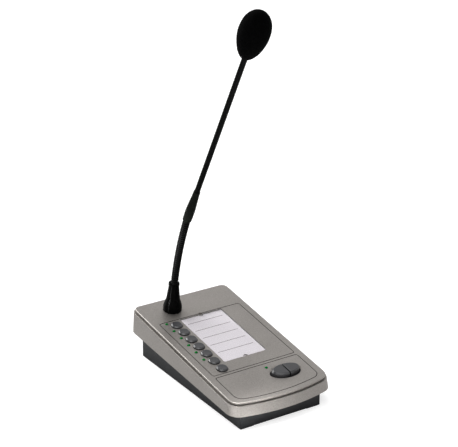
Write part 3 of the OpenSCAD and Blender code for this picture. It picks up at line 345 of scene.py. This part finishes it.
def label_paper():
    # Uncoated card, printed with thin grey rules beside the keys; fibres of about 0.3 mm mottle its white.
    first_rule = FIRST_KEY_V - 1.0 * MM
    rule_half_w = 0.28 * MM
    rule_half_l = 18.6 * MM
    first_to_middle_rule = 2 * KEY_PITCH
    outer_rules_reach = 2.2 * KEY_PITCH
    material, tree, place = new_finish("label_paper")
    on_plate = add(tree, "ShaderNodeMapping", None,
                   {"Vector": place, "Rotation": (-COVER_TILT, 0, 0),
                    "Location": (0, -COVER_H * math.sin(COVER_TILT), 0)})
    axes = add(tree, "ShaderNodeSeparateXYZ", None, {"Vector": on_plate.outputs[0]})
    past_first = add(tree, "ShaderNodeMath", {"operation": "SUBTRACT"}, {0: axes.outputs["Y"], 1: first_rule})
    to_rule = add(tree, "ShaderNodeMath", {"operation": "PINGPONG"},
                  {0: past_first.outputs[0], 1: KEY_PITCH / 2})
    thin = add(tree, "ShaderNodeMath", {"operation": "LESS_THAN"}, {0: to_rule.outputs[0], 1: rule_half_w})
    past_middle = add(tree, "ShaderNodeMath", {"operation": "ADD"},
                      {0: past_first.outputs[0], 1: first_to_middle_rule})
    far_along = add(tree, "ShaderNodeMath", {"operation": "ABSOLUTE"}, {0: past_middle.outputs[0]})
    ruled = add(tree, "ShaderNodeMath", {"operation": "LESS_THAN"},
                {0: far_along.outputs[0], 1: outer_rules_reach})
    off_middle = add(tree, "ShaderNodeMath", {"operation": "SUBTRACT"}, {0: axes.outputs["X"], 1: LABEL_X})
    far_across = add(tree, "ShaderNodeMath", {"operation": "ABSOLUTE"}, {0: off_middle.outputs[0]})
    inside = add(tree, "ShaderNodeMath", {"operation": "LESS_THAN"},
                 {0: far_across.outputs[0], 1: rule_half_l})
    lines = add(tree, "ShaderNodeMath", {"operation": "MULTIPLY"}, {0: thin.outputs[0], 1: ruled.outputs[0]})
    ink = add(tree, "ShaderNodeMath", {"operation": "MULTIPLY"}, {0: lines.outputs[0], 1: inside.outputs[0]})
    fibre = add(tree, "ShaderNodeTexNoise", None, {"Vector": place, "Scale": 1 / (0.3 * MM), "Detail": 3.0})
    white = add(tree, "ShaderNodeMix", {"data_type": "RGBA"},
                {"Factor": fibre.outputs["Fac"], COLOUR_A: linear("#c8c3c8"), COLOUR_B: linear("#d3ced3")})
    colour = add(tree, "ShaderNodeMix", {"data_type": "RGBA"},
                 {"Factor": ink.outputs[0], COLOUR_A: white.outputs[COLOUR_OUT], COLOUR_B: linear("#43383c")})
    relief = add(tree, "ShaderNodeBump", None,
                 {"Height": fibre.outputs["Fac"], "Strength": 0.3, "Distance": 0.01 * MM})
    shader = add(tree, "ShaderNodeBsdfPrincipled", None,
                 {"Base Color": colour.outputs[COLOUR_OUT], "Roughness": 0.8, "IOR": 1.45,
                  "Normal": relief.outputs["Normal"]})
    surface(tree, shader.outputs[0])
    return material


def window_acrylic():
    # Clear cast acrylic, hazy in patches of about 6 mm: the card shows through it.
    # Only its faint gloss and its edges tell that it is there.
    material, tree, place = new_finish("window_acrylic")
    haze = add(tree, "ShaderNodeTexNoise", None, {"Vector": place, "Scale": 1 / (6 * MM), "Detail": 2.0})
    rough = add(tree, "ShaderNodeMapRange", None,
                {"Value": haze.outputs["Fac"], "To Min": 0.05, "To Max": 0.16})
    edge = add(tree, "ShaderNodeLayerWeight", None, {"Blend": 0.3})
    alpha = add(tree, "ShaderNodeMapRange", None,
                {"Value": edge.outputs["Facing"], "From Min": 0.3, "To Min": 0.03, "To Max": 0.3})
    shader = add(tree, "ShaderNodeBsdfPrincipled", None,
                 {"Base Color": linear("#f4f5f7"), "Roughness": rough.outputs[0], "IOR": 1.49,
                  "Alpha": alpha.outputs[0]})
    surface(tree, shader.outputs[0])
    return material


def sawn_acrylic():
    # The window's notches, with saw marks of about 0.2 mm: frosted, so that they show grey by the clear rest.
    return grained("sawn_acrylic", "#8b8988", "#a09e9d", 0.2 * MM, (0.55, 0.7), 0.01 * MM, {"IOR": 1.49})


def socket_pbt():
    # Moulded PBT connector: black, slightly glossy, with flow marks of about 2 mm.
    return grained("socket_pbt", "#0e0e0f", "#18181a", 2.0 * MM, (0.36, 0.5), 0.01 * MM, {"IOR": 1.57})


def switch_pbt():
    # Moulded switch parts in black PBT: dull, with a fine grain of about 0.3 mm.
    return grained("switch_pbt", "#141414", "#202020", 0.3 * MM, (0.5, 0.62), 0.01 * MM, {"IOR": 1.57})


def nylon_header():
    # Moulded natural nylon: ivory and waxy, softly cloudy over about 1.2 mm.
    return grained("nylon_header", "#d9d3c3", "#e7e1d2", 1.2 * MM, (0.45, 0.55), 0.01 * MM, {"IOR": 1.53})


def lacquered_laminate():
    # Glass-epoxy board under green solder lacquer; the weave of about 0.5 mm shows faintly.
    return grained("lacquered_laminate", "#0c3a1e", "#14532b", 0.5 * MM, (0.3, 0.42), 0.01 * MM, {"IOR": 1.5})


def zinc_plated_steel():
    # Rolled steel screws, zinc plated: pale, with a slightly milky gleam that varies every 0.4 mm or so.
    return grained("zinc_plated_steel", "#9c9da0", "#b5b6b8", 0.4 * MM, (0.28, 0.42), 0.01 * MM,
                   {"Metallic": 1.0})


def blackened_steel():
    # Hot-rolled steel plate, blackened: dark, with mill scale in patches of about 3 mm.
    return grained("blackened_steel", "#3b3c3e", "#56575a", 3.0 * MM, (0.4, 0.6), 0.02 * MM,
                   {"Metallic": 1.0})


def turned_brass():
    # Brass turned on a lathe: yellow, with fine tool marks of about 0.3 mm.
    return grained("turned_brass", "#a8863c", "#c4a456", 0.3 * MM, (0.26, 0.4), 0.01 * MM, {"Metallic": 1.0})


def anodised_aluminium():
    # Turned aluminium cup, anodised dark: a soft even sheen over tool marks of about 0.3 mm.
    return grained("anodised_aluminium", "#2c2d30", "#3a3b3e", 0.3 * MM, (0.34, 0.46), 0.005 * MM,
                   {"Metallic": 1.0})


def drawn_aluminium():
    # Deep-drawn capsule can: bright aluminium with drawing marks of about 0.4 mm.
    return grained("drawn_aluminium", "#b4b5b7", "#cbccce", 0.4 * MM, (0.24, 0.36), 0.005 * MM,
                   {"Metallic": 1.0})


def pvc_lead():
    # Extruded PVC lead: black, with a faint waxy gleam in ripples of about 0.8 mm.
    return grained("pvc_lead", "#0c0c0d", "#171718", 0.8 * MM, (0.4, 0.52), 0.01 * MM, {"IOR": 1.52})


def studio_paper():
    # White background paper with a tooth of about 2 mm: it takes the shadow, and glows to a clean white
    # where the camera sees it. Where a gloss mirrors it or glass shows it, it glows a little less.
    material, tree, place = new_finish("studio_paper")
    path = add(tree, "ShaderNodeLightPath")
    mirrored = add(tree, "ShaderNodeMath", {"operation": "MAXIMUM"},
                   {0: path.outputs["Is Glossy Ray"], 1: path.outputs["Is Transmission Ray"]})
    less = add(tree, "ShaderNodeMath", {"operation": "MULTIPLY"}, {0: mirrored.outputs[0], 1: 0.5})
    glow = add(tree, "ShaderNodeMath", {"operation": "MULTIPLY_ADD"},
               {0: path.outputs["Is Camera Ray"], 1: 0.7, 2: less.outputs[0]})
    tooth = add(tree, "ShaderNodeTexNoise", None, {"Vector": place, "Scale": 1 / (2 * MM)})
    white = add(tree, "ShaderNodeMix", {"data_type": "RGBA"},
                {"Factor": tooth.outputs["Fac"], COLOUR_A: linear("#b9b9b9"), COLOUR_B: linear("#bfbfbf")})
    matt = add(tree, "ShaderNodeBsdfDiffuse", None, {"Color": white.outputs[COLOUR_OUT]})
    lit = add(tree, "ShaderNodeEmission", None, {"Color": linear("#ffffff"), "Strength": glow.outputs[0]})
    both = add(tree, "ShaderNodeAddShader", None, {0: matt.outputs[0], 1: lit.outputs[0]})
    surface(tree, both.outputs[0])
    return material


# Pieces


def placed(name, bm, body, finish, slot, *stands_for):
    """Makes an object of a mesh, smooth between its sharp edges, on its body and in place of its solids."""
    mesh = bpy.data.meshes.new(name)
    bmesh.ops.recalc_face_normals(bm, faces=bm.faces)
    bm.to_mesh(mesh)
    bm.free()
    mesh.shade_smooth()
    mesh.set_sharp_from_angle(angle=SHARP_EDGE)
    mesh.materials.append(finish)
    piece = bpy.data.objects.new(name, mesh)
    bpy.context.scene.collection.objects.link(piece)
    if body:
        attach(piece, body)
    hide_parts(*stands_for)
    even = piece.modifiers.new("even_shading", "WEIGHTED_NORMAL")
    even.weight = 100
    even.keep_sharp = True
    return piece


def turned(rings, sides):
    """A mesh turned round Z from (radius, height) rings.

    A ring of no radius closes it in a point, and a last ring like the first closes it on itself.
    """
    bm = bmesh.new()
    loops = []
    for radius, height in rings:
        if radius == 0:
            loops.append([bm.verts.new((0, 0, height))])
        else:
            turns = [2 * math.pi * k / sides for k in range(sides)]
            loops.append([bm.verts.new((radius * math.cos(a), radius * math.sin(a), height)) for a in turns])
    for low, high in zip(loops, loops[1:]):
        for k in range(sides):
            n = (k + 1) % sides
            corners = [low[k % len(low)], low[n % len(low)], high[n % len(high)], high[k % len(high)]]
            bm.faces.new(list(dict.fromkeys(corners)))
    bmesh.ops.remove_doubles(bm, verts=bm.verts, dist=WELD)
    return bm


def rounded(centre, radius, start, end, steps):
    """Rings on an arc, in degrees, for a turned profile."""
    angles = [math.radians(start + (end - start) * i / steps) for i in range(steps + 1)]
    return [(centre[0] + radius * math.cos(a), centre[1] + radius * math.sin(a)) for a in angles]


def tapered(wide, narrow, low, high, steps):
    """Rings that swing smoothly from a wide to a narrow radius, for a turned profile."""
    rings = []
    for i in range(steps + 1):
        share = i / steps
        radius = narrow + (wide - narrow) * (1 + math.cos(math.pi * share)) / 2
        rings.append((radius, low + (high - low) * share))
    return rings


def copied(node):
    """A welded copy of a solid's mesh."""
    bm = bmesh.new()
    bm.from_mesh(nodes[node].data)
    bmesh.ops.remove_doubles(bm, verts=bm.verts, dist=10 * WELD)
    bmesh.ops.dissolve_degenerate(bm, edges=bm.edges, dist=WELD)
    bmesh.ops.dissolve_limit(bm, angle_limit=math.radians(0.2), verts=bm.verts, edges=bm.edges)
    return bm


def moved(bm, matrix):
    """Moves a whole mesh."""
    bmesh.ops.transform(bm, matrix=matrix, verts=bm.verts)
    return bm


def at_plate(x, v):
    """The place of a piece that stands on the plate."""
    return ON_PLATE @ Matrix.Translation((x, v, 0))


def joined(whole, more):
    """Adds one mesh to another."""
    mesh = bpy.data.meshes.new("part")
    more.to_mesh(mesh)
    more.free()
    whole.from_mesh(mesh)
    bpy.data.meshes.remove(mesh)


def in_key_gap(place):
    """Whether a place of the cover is in the gap round a key, which gets dark plastic as painted shade."""
    at_key = any(math.hypot(place.x - x, place.y - v) < KEY_R + KEY_GAP_REACH for x, v in KEY_PLACES)
    across = (place.x - TALK_PLACE[0]) / (TALK_HALF_L + TALK_GAP_REACH)
    along = (place.y - TALK_PLACE[1]) / (TALK_HALF_W + TALK_GAP_REACH)
    return at_key or (math.hypot(across, along) < 1 and place.z < TALK_GAP_TOP)


def sharpen_skirt_lip(shell):
    """Flattens the lip's rounding to a quarter of its height, so that only the rim above it catches light."""
    for vert in shell.verts:
        on_plate = TO_PLATE @ vert.co
        below = -on_plate.z - LIP_DEPTH
        outside = abs(on_plate.x) > LIP_SIDE or abs(on_plate.y) > LIP_END
        if outside and 0 < below < LIP_R + HAIR:
            on_plate.z = -LIP_DEPTH - below / 4
            vert.co = ON_PLATE @ on_plate


def straighten_front_notch(shell):
    """Draws the label pocket's front pry notch back to the pocket's edge, where the photograph has none."""
    for vert in shell.verts:
        on_plate = TO_PLATE @ vert.co
        in_front = 0 < LABEL_FRONT - on_plate.y < NOTCH_R + SLACK
        at_middle = abs(on_plate.x - LABEL_X) < NOTCH_R + SLACK
        in_pocket = -POCKET_DEPTH - SLACK < on_plate.z < SLACK
        if in_front and at_middle and in_pocket:
            on_plate.y = LABEL_FRONT
            vert.co = ON_PLATE @ on_plate
    bmesh.ops.dissolve_degenerate(shell, edges=shell.edges, dist=10 * WELD)


def cover_and_tray(silver, line, charcoal, tray, rubber):
    """The painted cover, its crosswise lines and its key gaps darkened with painted shade, over the tray and
    its pads.
    """
    shell = copied("top_cover")
    sharpen_skirt_lip(shell)
    straighten_front_notch(shell)
    cover = placed("cover_shell", shell, "base", silver, "silver_cover", "top_cover")
    cover.data.materials.append(line)
    cover.data.materials.append(charcoal)
    deepest_line = LINE_DEPTH + SLACK
    for face in cover.data.polygons:
        place = TO_PLATE @ face.center
        upright = abs((TO_PLATE.to_3x3() @ face.normal).z)
        # The walls and the floor of a line are square to the plate, and the rounded rim isn't.
        squared = upright < 0.05 or upright > 0.99
        # Only the crosswise lines get the painted shade that their shaded walls would show; the side lines
        # stay silver.
        if abs(place.x) < SIDE_LINE_X and HAIR < -place.z < deepest_line and squared:
            face.material_index = 1
        # Deeper than the lines, the gaps round the keys get the dark plastic as painted shade.
        elif -place.z > deepest_line and in_key_gap(place):
            face.material_index = 2
    placed("tray_shell", copied("bottom_tray"), "base", tray, "charcoal_tray", "bottom_tray")
    placed("corner_pads", copied("rubber_feet"), "base", rubber, "foot_rubber", "rubber_feet")


def zone_key_caps(finish):
    """Round caps with a chamfer and a slight dish, on a flange that the cover holds down and a stem."""
    rings = [(0, KEY_STEM_LOW), (KEY_STEM_R, KEY_STEM_LOW), (KEY_STEM_R, KEY_FLANGE_LOW),
             (KEY_FLANGE_R, KEY_FLANGE_LOW), (KEY_FLANGE_R, KEY_FLANGE_TOP), (KEY_R, KEY_FLANGE_TOP)]
    top_r = KEY_R - KEY_CHAMFER - KEY_NOSE_R
    rings += rounded((KEY_R - KEY_NOSE_R, KEY_PROUD - KEY_CHAMFER - KEY_NOSE_R), KEY_NOSE_R, 0, 45, 3)
    rings += rounded((top_r, KEY_PROUD - KEY_NOSE_R), KEY_NOSE_R, 45, 90, 3)
    # Shares of the top's radius, and the depth of the dish there in millimetres.
    dish = [(0.85, 0.01), (0.7, 0.04), (0.5, 0.08), (0.25, 0.12), (0, 0.14)]
    rings += [(top_r * share, KEY_PROUD - depth * MM) for share, depth in dish]
    for i, place in enumerate(KEY_PLACES, start=1):
        cap = moved(turned(rings, 64), at_plate(*place))
        placed(f"zone_cap_{i}", cap, f"key_{i}", finish, "key_plastic", f"zone_key_{i}")


def chamfer_talk_edge(cap):
    """Turns the rounded rim of a talk key's solid into the higher flat chamfer that the eye sees."""
    at_talk = at_plate(*TALK_PLACE)
    to_talk = at_talk.inverted()
    for vert in cap.verts:
        spot = to_talk @ vert.co
        rise = (spot.z - TALK_PROUD + TALK_ROUND) / TALK_ROUND
        if rise > -0.001:
            inward = 1 - math.sqrt(max(0, 1 - min(1, rise) ** 2))
            was = TALK_ROUND * inward
            now = TALK_CHAMFER_W * inward
            if abs(spot.x) > TALK_SPLIT_X + SLACK:
                spot.x *= (TALK_HALF_L - now) / (TALK_HALF_L - was)
            spot.y *= (TALK_HALF_W - now) / (TALK_HALF_W - was)
            spot.z = TALK_PROUD - TALK_CHAMFER_H * (1 - inward)
            vert.co = at_talk @ spot
    bmesh.ops.dissolve_limit(cap, angle_limit=math.radians(1), verts=cap.verts, edges=cap.edges)
    cap.normal_update()
    chamfer_foot = TALK_PROUD - TALK_CHAMFER_H - HAIR
    rim = [edge for edge in cap.edges if all((to_talk @ vert.co).z > chamfer_foot for vert in edge.verts)]
    sharp = [edge for edge in rim if edge.calc_face_angle() > SHARP_CORNER]
    bmesh.ops.bevel(cap, geom=sharp, offset=TALK_RIM_ROUND, segments=2, profile=0.5, affect="EDGES")


def talk_key_caps(finish):
    for side in ("left", "right"):
        cap = copied(f"talk_key_{side}")
        chamfer_talk_edge(cap)
        placed(f"talk_cap_{side}", cap, f"talk_{side}", finish, "key_plastic", f"talk_key_{side}")


def lamp_bodies(finish):
    """Round lamps with a dome, a flange and two legs: six beside the zone keys and one at the talk keys."""
    rings = [(0, LAMP_FLANGE_LOW), (LAMP_FLANGE_R, LAMP_FLANGE_LOW), (LAMP_FLANGE_R, LAMP_FLANGE_TOP),
             (LAMP_R, LAMP_FLANGE_TOP)]
    rings += rounded((0, LAMP_PROUD - LAMP_R), LAMP_R, 0, 80, 8)
    rings += [(0, LAMP_PROUD)]
    leg_rings = [(0, LAMP_LEG_LOW), (LAMP_LEG_R, LAMP_LEG_LOW), (LAMP_LEG_R, LAMP_FLANGE_LOW),
                 (0, LAMP_FLANGE_LOW)]
    groups = [("zone_lamps", "zone_leds", LAMP_PLACES), ("talk_lamp", "talk_led", [TALK_LAMP])]
    for name, node, places in groups:
        whole = bmesh.new()
        for place in places:
            lamp = turned(rings, 32)
            for leg_x in (-LAMP_LEG_X, LAMP_LEG_X):
                joined(lamp, moved(turned(leg_rings, 12), Matrix.Translation((leg_x, 0, 0))))
            joined(whole, moved(lamp, at_plate(*place)))
        placed(name, whole, "base", finish, "lamp_green", node)


def label(paper, acrylic, sawn):
    """The card, a hair thinner than its solid so that it shows through the window on it, and the window."""
    card = copied("label_card")
    for vert in card.verts:
        on_plate = TO_PLATE @ vert.co
        if on_plate.z > CARD_MIDDLE:
            on_plate.z -= CARD_SUNK
            vert.co = ON_PLATE @ on_plate
    placed("card", card, "base", paper, "label_paper", "label_card")
    window = placed("window", copied("label_window"), "base", acrylic, "clear_window", "label_window")
    window.data.materials.append(sawn)
    for face in window.data.polygons:
        upright = abs((TO_PLATE.to_3x3() @ face.normal).z)
        if upright < 0.3 and abs((TO_PLATE @ face.center).x - LABEL_X) < NOTCH_R:
            face.material_index = 1
    bevel = window.modifiers.new("tool_radius", "BEVEL")
    bevel.width = WINDOW_ROUND
    bevel.segments = 2
    bevel.limit_method = "ANGLE"
    bevel.angle_limit = SHARP_CORNER
    window.modifiers.move(len(window.modifiers) - 1, 0)


def boot(finish):
    """A hollow boot: a recess under a flared foot, a long waist, and a collar round the neck."""
    recess_r = 6.3 * MM
    recess_top = 3.3 * MM
    foot_r = 8.7 * MM
    foot_round = 0.6 * MM
    flare_low = 3.4 * MM
    flare_top = 15 * MM
    waist_r = 6.1 * MM
    collar_low = 26 * MM
    collar_full = 26.6 * MM
    collar_r = 5.1 * MM
    collar_step = 0.3 * MM
    collar_round = 0.5 * MM
    top = 29 * MM
    mouth_r = 4.1 * MM
    bore_r = 4.0 * MM
    bore_top = 10.3 * MM
    rings = [(recess_r, recess_top), (recess_r, 0)]
    rings += rounded((foot_r - foot_round, foot_round), foot_round, -90, 0, 5)
    rings += tapered(foot_r, waist_r, flare_low, flare_top, 16)
    rings += [(collar_r - collar_step, collar_low), (collar_r, collar_full)]
    rings += rounded((collar_r - collar_round, top - collar_round), collar_round, 0, 90, 4)
    rings += [(mouth_r, top), (bore_r, bore_top), (bore_r, recess_top), (recess_r, recess_top)]
    bm = moved(turned(rings, 64), at_plate(NECK_X, NECK_V))
    placed("boot", bm, "base", finish, "boot_rubber", "neck_boot")


def neck_ring(bm, s, radius, sides):
    """A ring of points round the neck at a length along it."""
    lean = neck_lean(s)
    ring = []
    for k in range(sides):
        a = 2 * math.pi * k / sides
        out = Vector((math.cos(a), math.sin(a) * math.cos(lean), math.sin(a) * math.sin(lean)))
        ring.append(bm.verts.new(neck_point(s) + radius * out))
    return ring


def ribbed_neck(finish):
    """Four ribbed stretches along the neck's curve; each rib is a round bead between two grooves."""
    stretch = (FLEX_LEN - FLEX_FREE_FROM) / FLEX_STRETCHES
    sides = 32
    rib_steps = 8
    bore_steps = 8
    for i in range(FLEX_STRETCHES):
        start = 0 if i == 0 else FLEX_FREE_FROM + i * stretch
        last = i == FLEX_STRETCHES - 1
        end = FLEX_LEN + FLEX_SUNK if last else FLEX_FREE_FROM + (i + 1) * stretch
        ribs = round((end - start) / RIB_PITCH)
        steps = ribs * rib_steps
        bm = bmesh.new()
        loops = []
        for j in range(steps + 1):
            bead = abs(math.sin(math.pi * j / rib_steps))
            s = start + (end - start) * j / steps
            loops.append(neck_ring(bm, s, FLEX_R - RIB_DEPTH * (1 - bead), sides))
        for j in range(bore_steps, -1, -1):
            s = start + (end - start) * j / bore_steps
            loops.append(neck_ring(bm, s, FLEX_BORE_R, sides))
        for low, high in zip(loops, loops[1:] + loops[:1]):
            for k in range(sides):
                n = (k + 1) % sides
                bm.faces.new([low[k], low[n], high[n], high[k]])
        piece = placed(f"ribbed_neck_{i + 1}", bm, None, finish, "neck_black", f"flex_{i + 1}")
        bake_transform(piece)


def sleeve_and_stem(nylon, lacquer):
    """A sleeve that tapers from the ribbed neck to the stem, and the stem, a tube that ends in the foam."""
    socket_r = 3.7 * MM
    socket_depth = 2.4 * MM
    mouth_r = 4.1 * MM
    mouth_round = 0.3 * MM
    swell_at = 4 * MM
    full_r = 4.3 * MM
    full_at = 10 * MM
    tip_r = 3.05 * MM
    tip_at = 36.6 * MM
    grip_r = 2.55 * MM
    stem_low = 26.6 * MM
    stem_top = 209.5 * MM
    bore_r = 1.6 * MM
    rings = [(socket_r, socket_depth), (socket_r, 0)]
    rings += rounded((mouth_r - mouth_round, mouth_round), mouth_round, -90, 0, 4)
    rings += [((mouth_r + full_r) / 2, swell_at)]
    rings += tapered(full_r, tip_r, full_at, tip_at, 24)
    rings += [(grip_r, tip_at), (grip_r, stem_low), (bore_r, stem_low), (bore_r, socket_depth),
              (socket_r, socket_depth)]
    sleeve = moved(turned(rings, 48), ON_STEM)
    placed("sleeve", sleeve, "head", nylon, "sleeve_black", "joint_sleeve")
    rings = [(bore_r, stem_low), (STEM_R, stem_low), (STEM_R, stem_top), (bore_r, stem_top),
             (bore_r, stem_low)]
    stem = moved(turned(rings, 40), ON_STEM)
    placed("stem", stem, "head", lacquer, "neck_black", "upper_stem")


def foam_egg(finish):
    """Foam ground to an egg, fuller towards its tip, its skin pitted by pores and slack in soft lumps."""
    half = FOAM_LEN / 2
    steps = 120
    skin = []
    for i in range(1, steps):
        u = -math.cos(math.pi * i / steps)
        radius = FOAM_R * math.sqrt(1 - u * u) * (1 + FOAM_EGG * u)
        if radius > FOAM_MOUTH_R:
            skin.append((radius, half * (1 + u)))
    rings = [(0, HOLLOW_TOP), (HOLLOW_R, HOLLOW_TOP), (HOLLOW_R, HOLLOW_FLOOR), (FOAM_BORE_R, HOLLOW_FLOOR)]
    rings += [(FOAM_BORE_R, skin[0][1])] + skin + [(0, FOAM_LEN)]
    bm = turned(rings, 160)
    near = 1 * MM
    for vert in bm.verts:
        out = Vector((vert.co.x, vert.co.y, 0))
        beside = HOLLOW_FLOOR - near < vert.co.z < HOLLOW_TOP + near
        hollow = beside and out.length < HOLLOW_R + near
        if out.length > FOAM_SMOOTH_R and not hollow:
            pit = noise.noise(vert.co / FOAM_PORE) * FOAM_PORE_DEPTH
            lump = noise.noise(vert.co / FOAM_LUMP) * FOAM_LUMP_DEPTH
            vert.co += out.normalized() * (pit + lump - FOAM_LUMP_DEPTH)
    moved(bm, ON_STEM @ Matrix.Translation((0, 0, FOAM_START)))
    egg = placed("foam_egg", bm, "head", finish, "windscreen_foam", "windscreen")


def inner_pieces():
    """Finishes of the socket and of the pieces inside, which all keep the shapes of their solids."""
    finishes = {
        zinc_plated_steel(): ["housing_screws", "ballast_screws", "board_screws", "line_board_screws",
                              "neck_washer", "neck_nut"],
        blackened_steel(): ["ballast_plate"],
        lacquered_laminate(): ["main_board", "line_board"],
        nylon_header(): ["board_headers", "led_spacers"],
        switch_pbt(): ["zone_switches", "talk_switches", "talk_plunger_left", "talk_plunger_right"]
        + [f"zone_plunger_{i}" for i in range(1, ZONE_KEYS + 1)],
        socket_pbt(): ["rear_socket"],
        turned_brass(): ["socket_contacts", "neck_bush"],
        pvc_lead(): ["mic_lead", "line_lead"],
        anodised_aluminium(): ["capsule_cup"],
        drawn_aluminium(): ["mic_capsule"],
    }
    for finish, names in finishes.items():
        for name in names:
            nodes[name].data.materials.clear()
            nodes[name].data.materials.append(finish)


# Studio


def studio_floor():
    bpy.ops.mesh.primitive_grid_add(x_subdivisions=4, y_subdivisions=4, size=12, location=(0, 0, 0))
    floor = bpy.context.object
    floor.name = "studio_floor"
    floor.data.materials.append(studio_paper())


def studio_world():
    """White all round to the camera and to gloss and glass, and a fifth as bright as light on the object."""
    world = bpy.data.worlds.new("studio")
    bpy.context.scene.world = world
    world.use_nodes = True
    tree = world.node_tree
    tree.nodes.clear()
    path = add(tree, "ShaderNodeLightPath")
    seen = add(tree, "ShaderNodeMath", {"operation": "MAXIMUM"},
               {0: path.outputs["Is Camera Ray"], 1: path.outputs["Is Glossy Ray"]})
    shown = add(tree, "ShaderNodeMath", {"operation": "MAXIMUM"},
                {0: seen.outputs[0], 1: path.outputs["Is Transmission Ray"]})
    strength = add(tree, "ShaderNodeMapRange", None,
                   {"Value": shown.outputs[0], "To Min": 0.2, "To Max": 1.0})
    light = add(tree, "ShaderNodeBackground", None,
                {"Color": linear("#ffffff"), "Strength": strength.outputs[0]})
    add(tree, "ShaderNodeOutputWorld", None, {"Surface": light.outputs[0]})


def linked(name, data):
    """Puts a lamp or the camera into the scene."""
    thing = bpy.data.objects.new(name, data)
    bpy.context.scene.collection.objects.link(thing)
    return thing


def aim_at(thing, point):
    """Turns a lamp or the camera to a point."""
    thing.rotation_euler = (point - thing.location).to_track_quat("-Z", "Y").to_euler()


def soft_light(name, round_from_front, height, width, share):
    """A far soft light. Its place, round from the front to the left and up, and its width are in degrees.

    Its strength is a share of the light at which white paper is full white.
    """
    lamp = bpy.data.lights.new(name, "SUN")
    lamp.angle = math.radians(width)
    lamp.energy = share * math.pi
    light = linked(name, lamp)
    light.rotation_euler = (math.radians(90 - height), 0, math.radians(-round_from_front))


def area_lamp(name, place, size, spread, power):
    """A lamp close by that shines straight down, with its spread in degrees and its power in watts."""
    lamp = bpy.data.lights.new(name, "AREA")
    lamp.shape = "RECTANGLE"
    lamp.size = size[0]
    lamp.size_y = size[1]
    lamp.spread = math.radians(spread)
    lamp.energy = power
    light = linked(name, lamp)
    light.location = place
    return light


def gleam_lamp(name, place, aim, size, spread, power):
    """A small square lamp out of the camera's sight, aimed to give one piece a gleam."""
    light = area_lamp(name, place, (size, size), spread, power)
    light.visible_camera = False
    aim_at(light, aim)


def studio_lights():
    soft_light("overhead_light", round_from_front=40, height=62, width=40, share=0.54)
    soft_light("front_light", round_from_front=5, height=22, width=40, share=0.13)
    soft_light("back_light", round_from_front=160, height=32, width=45, share=1.1)
    # This one lights the paper in front, so that the front walls have something bright to mirror.
    area_lamp("floor_light", (-0.2, -0.24, 0.16), (0.4, 0.3), spread=30, power=2.2)
    # These two give gleams on the left, on the ribs of the neck and down the boot.
    rib_middle = neck_point(FLEX_LEN * 0.65)
    gleam_lamp("neck_light", (-0.305, 0.03, 0.15), rib_middle, size=0.05, spread=14, power=0.05)
    boot_middle = ON_PLATE @ Vector((NECK_X, NECK_V, 17 * MM))
    gleam_lamp("boot_light", (-0.32, 0.02, 0.085), boot_middle, size=0.02, spread=5, power=0.0045)


def camera():
    """The photograph's viewpoint, solved from the outline of the plate."""
    lens = bpy.data.cameras.new("view")
    lens.sensor_fit = "HORIZONTAL"
    lens.sensor_width = 36
    lens.lens = 125.79
    view = linked("view", lens)
    view.location = Vector((-699.83, -1084.73, 676.6)) * MM
    aim_at(view, Vector((-0.290, 1.862, 153.343)) * MM)
    bpy.context.scene.camera = view


camera()
studio_floor()
studio_world()
studio_lights()
lacquer = black_lacquer_on_steel()
keys = key_abs()
cover_and_tray(silver_paint_on_abs(), painted_line_shade(), charcoal_abs(), tray_abs(), foot_rubber())
zone_key_caps(keys)
talk_key_caps(keys)
lamp_bodies(lamp_epoxy())
label(label_paper(), window_acrylic(), sawn_acrylic())
boot(boot_pvc())
ribbed_neck(lacquer)
sleeve_and_stem(sleeve_nylon(), lacquer)
foam_egg(windscreen_foam())
inner_pieces()
bpy.context.scene.view_settings.view_transform = "Standard"
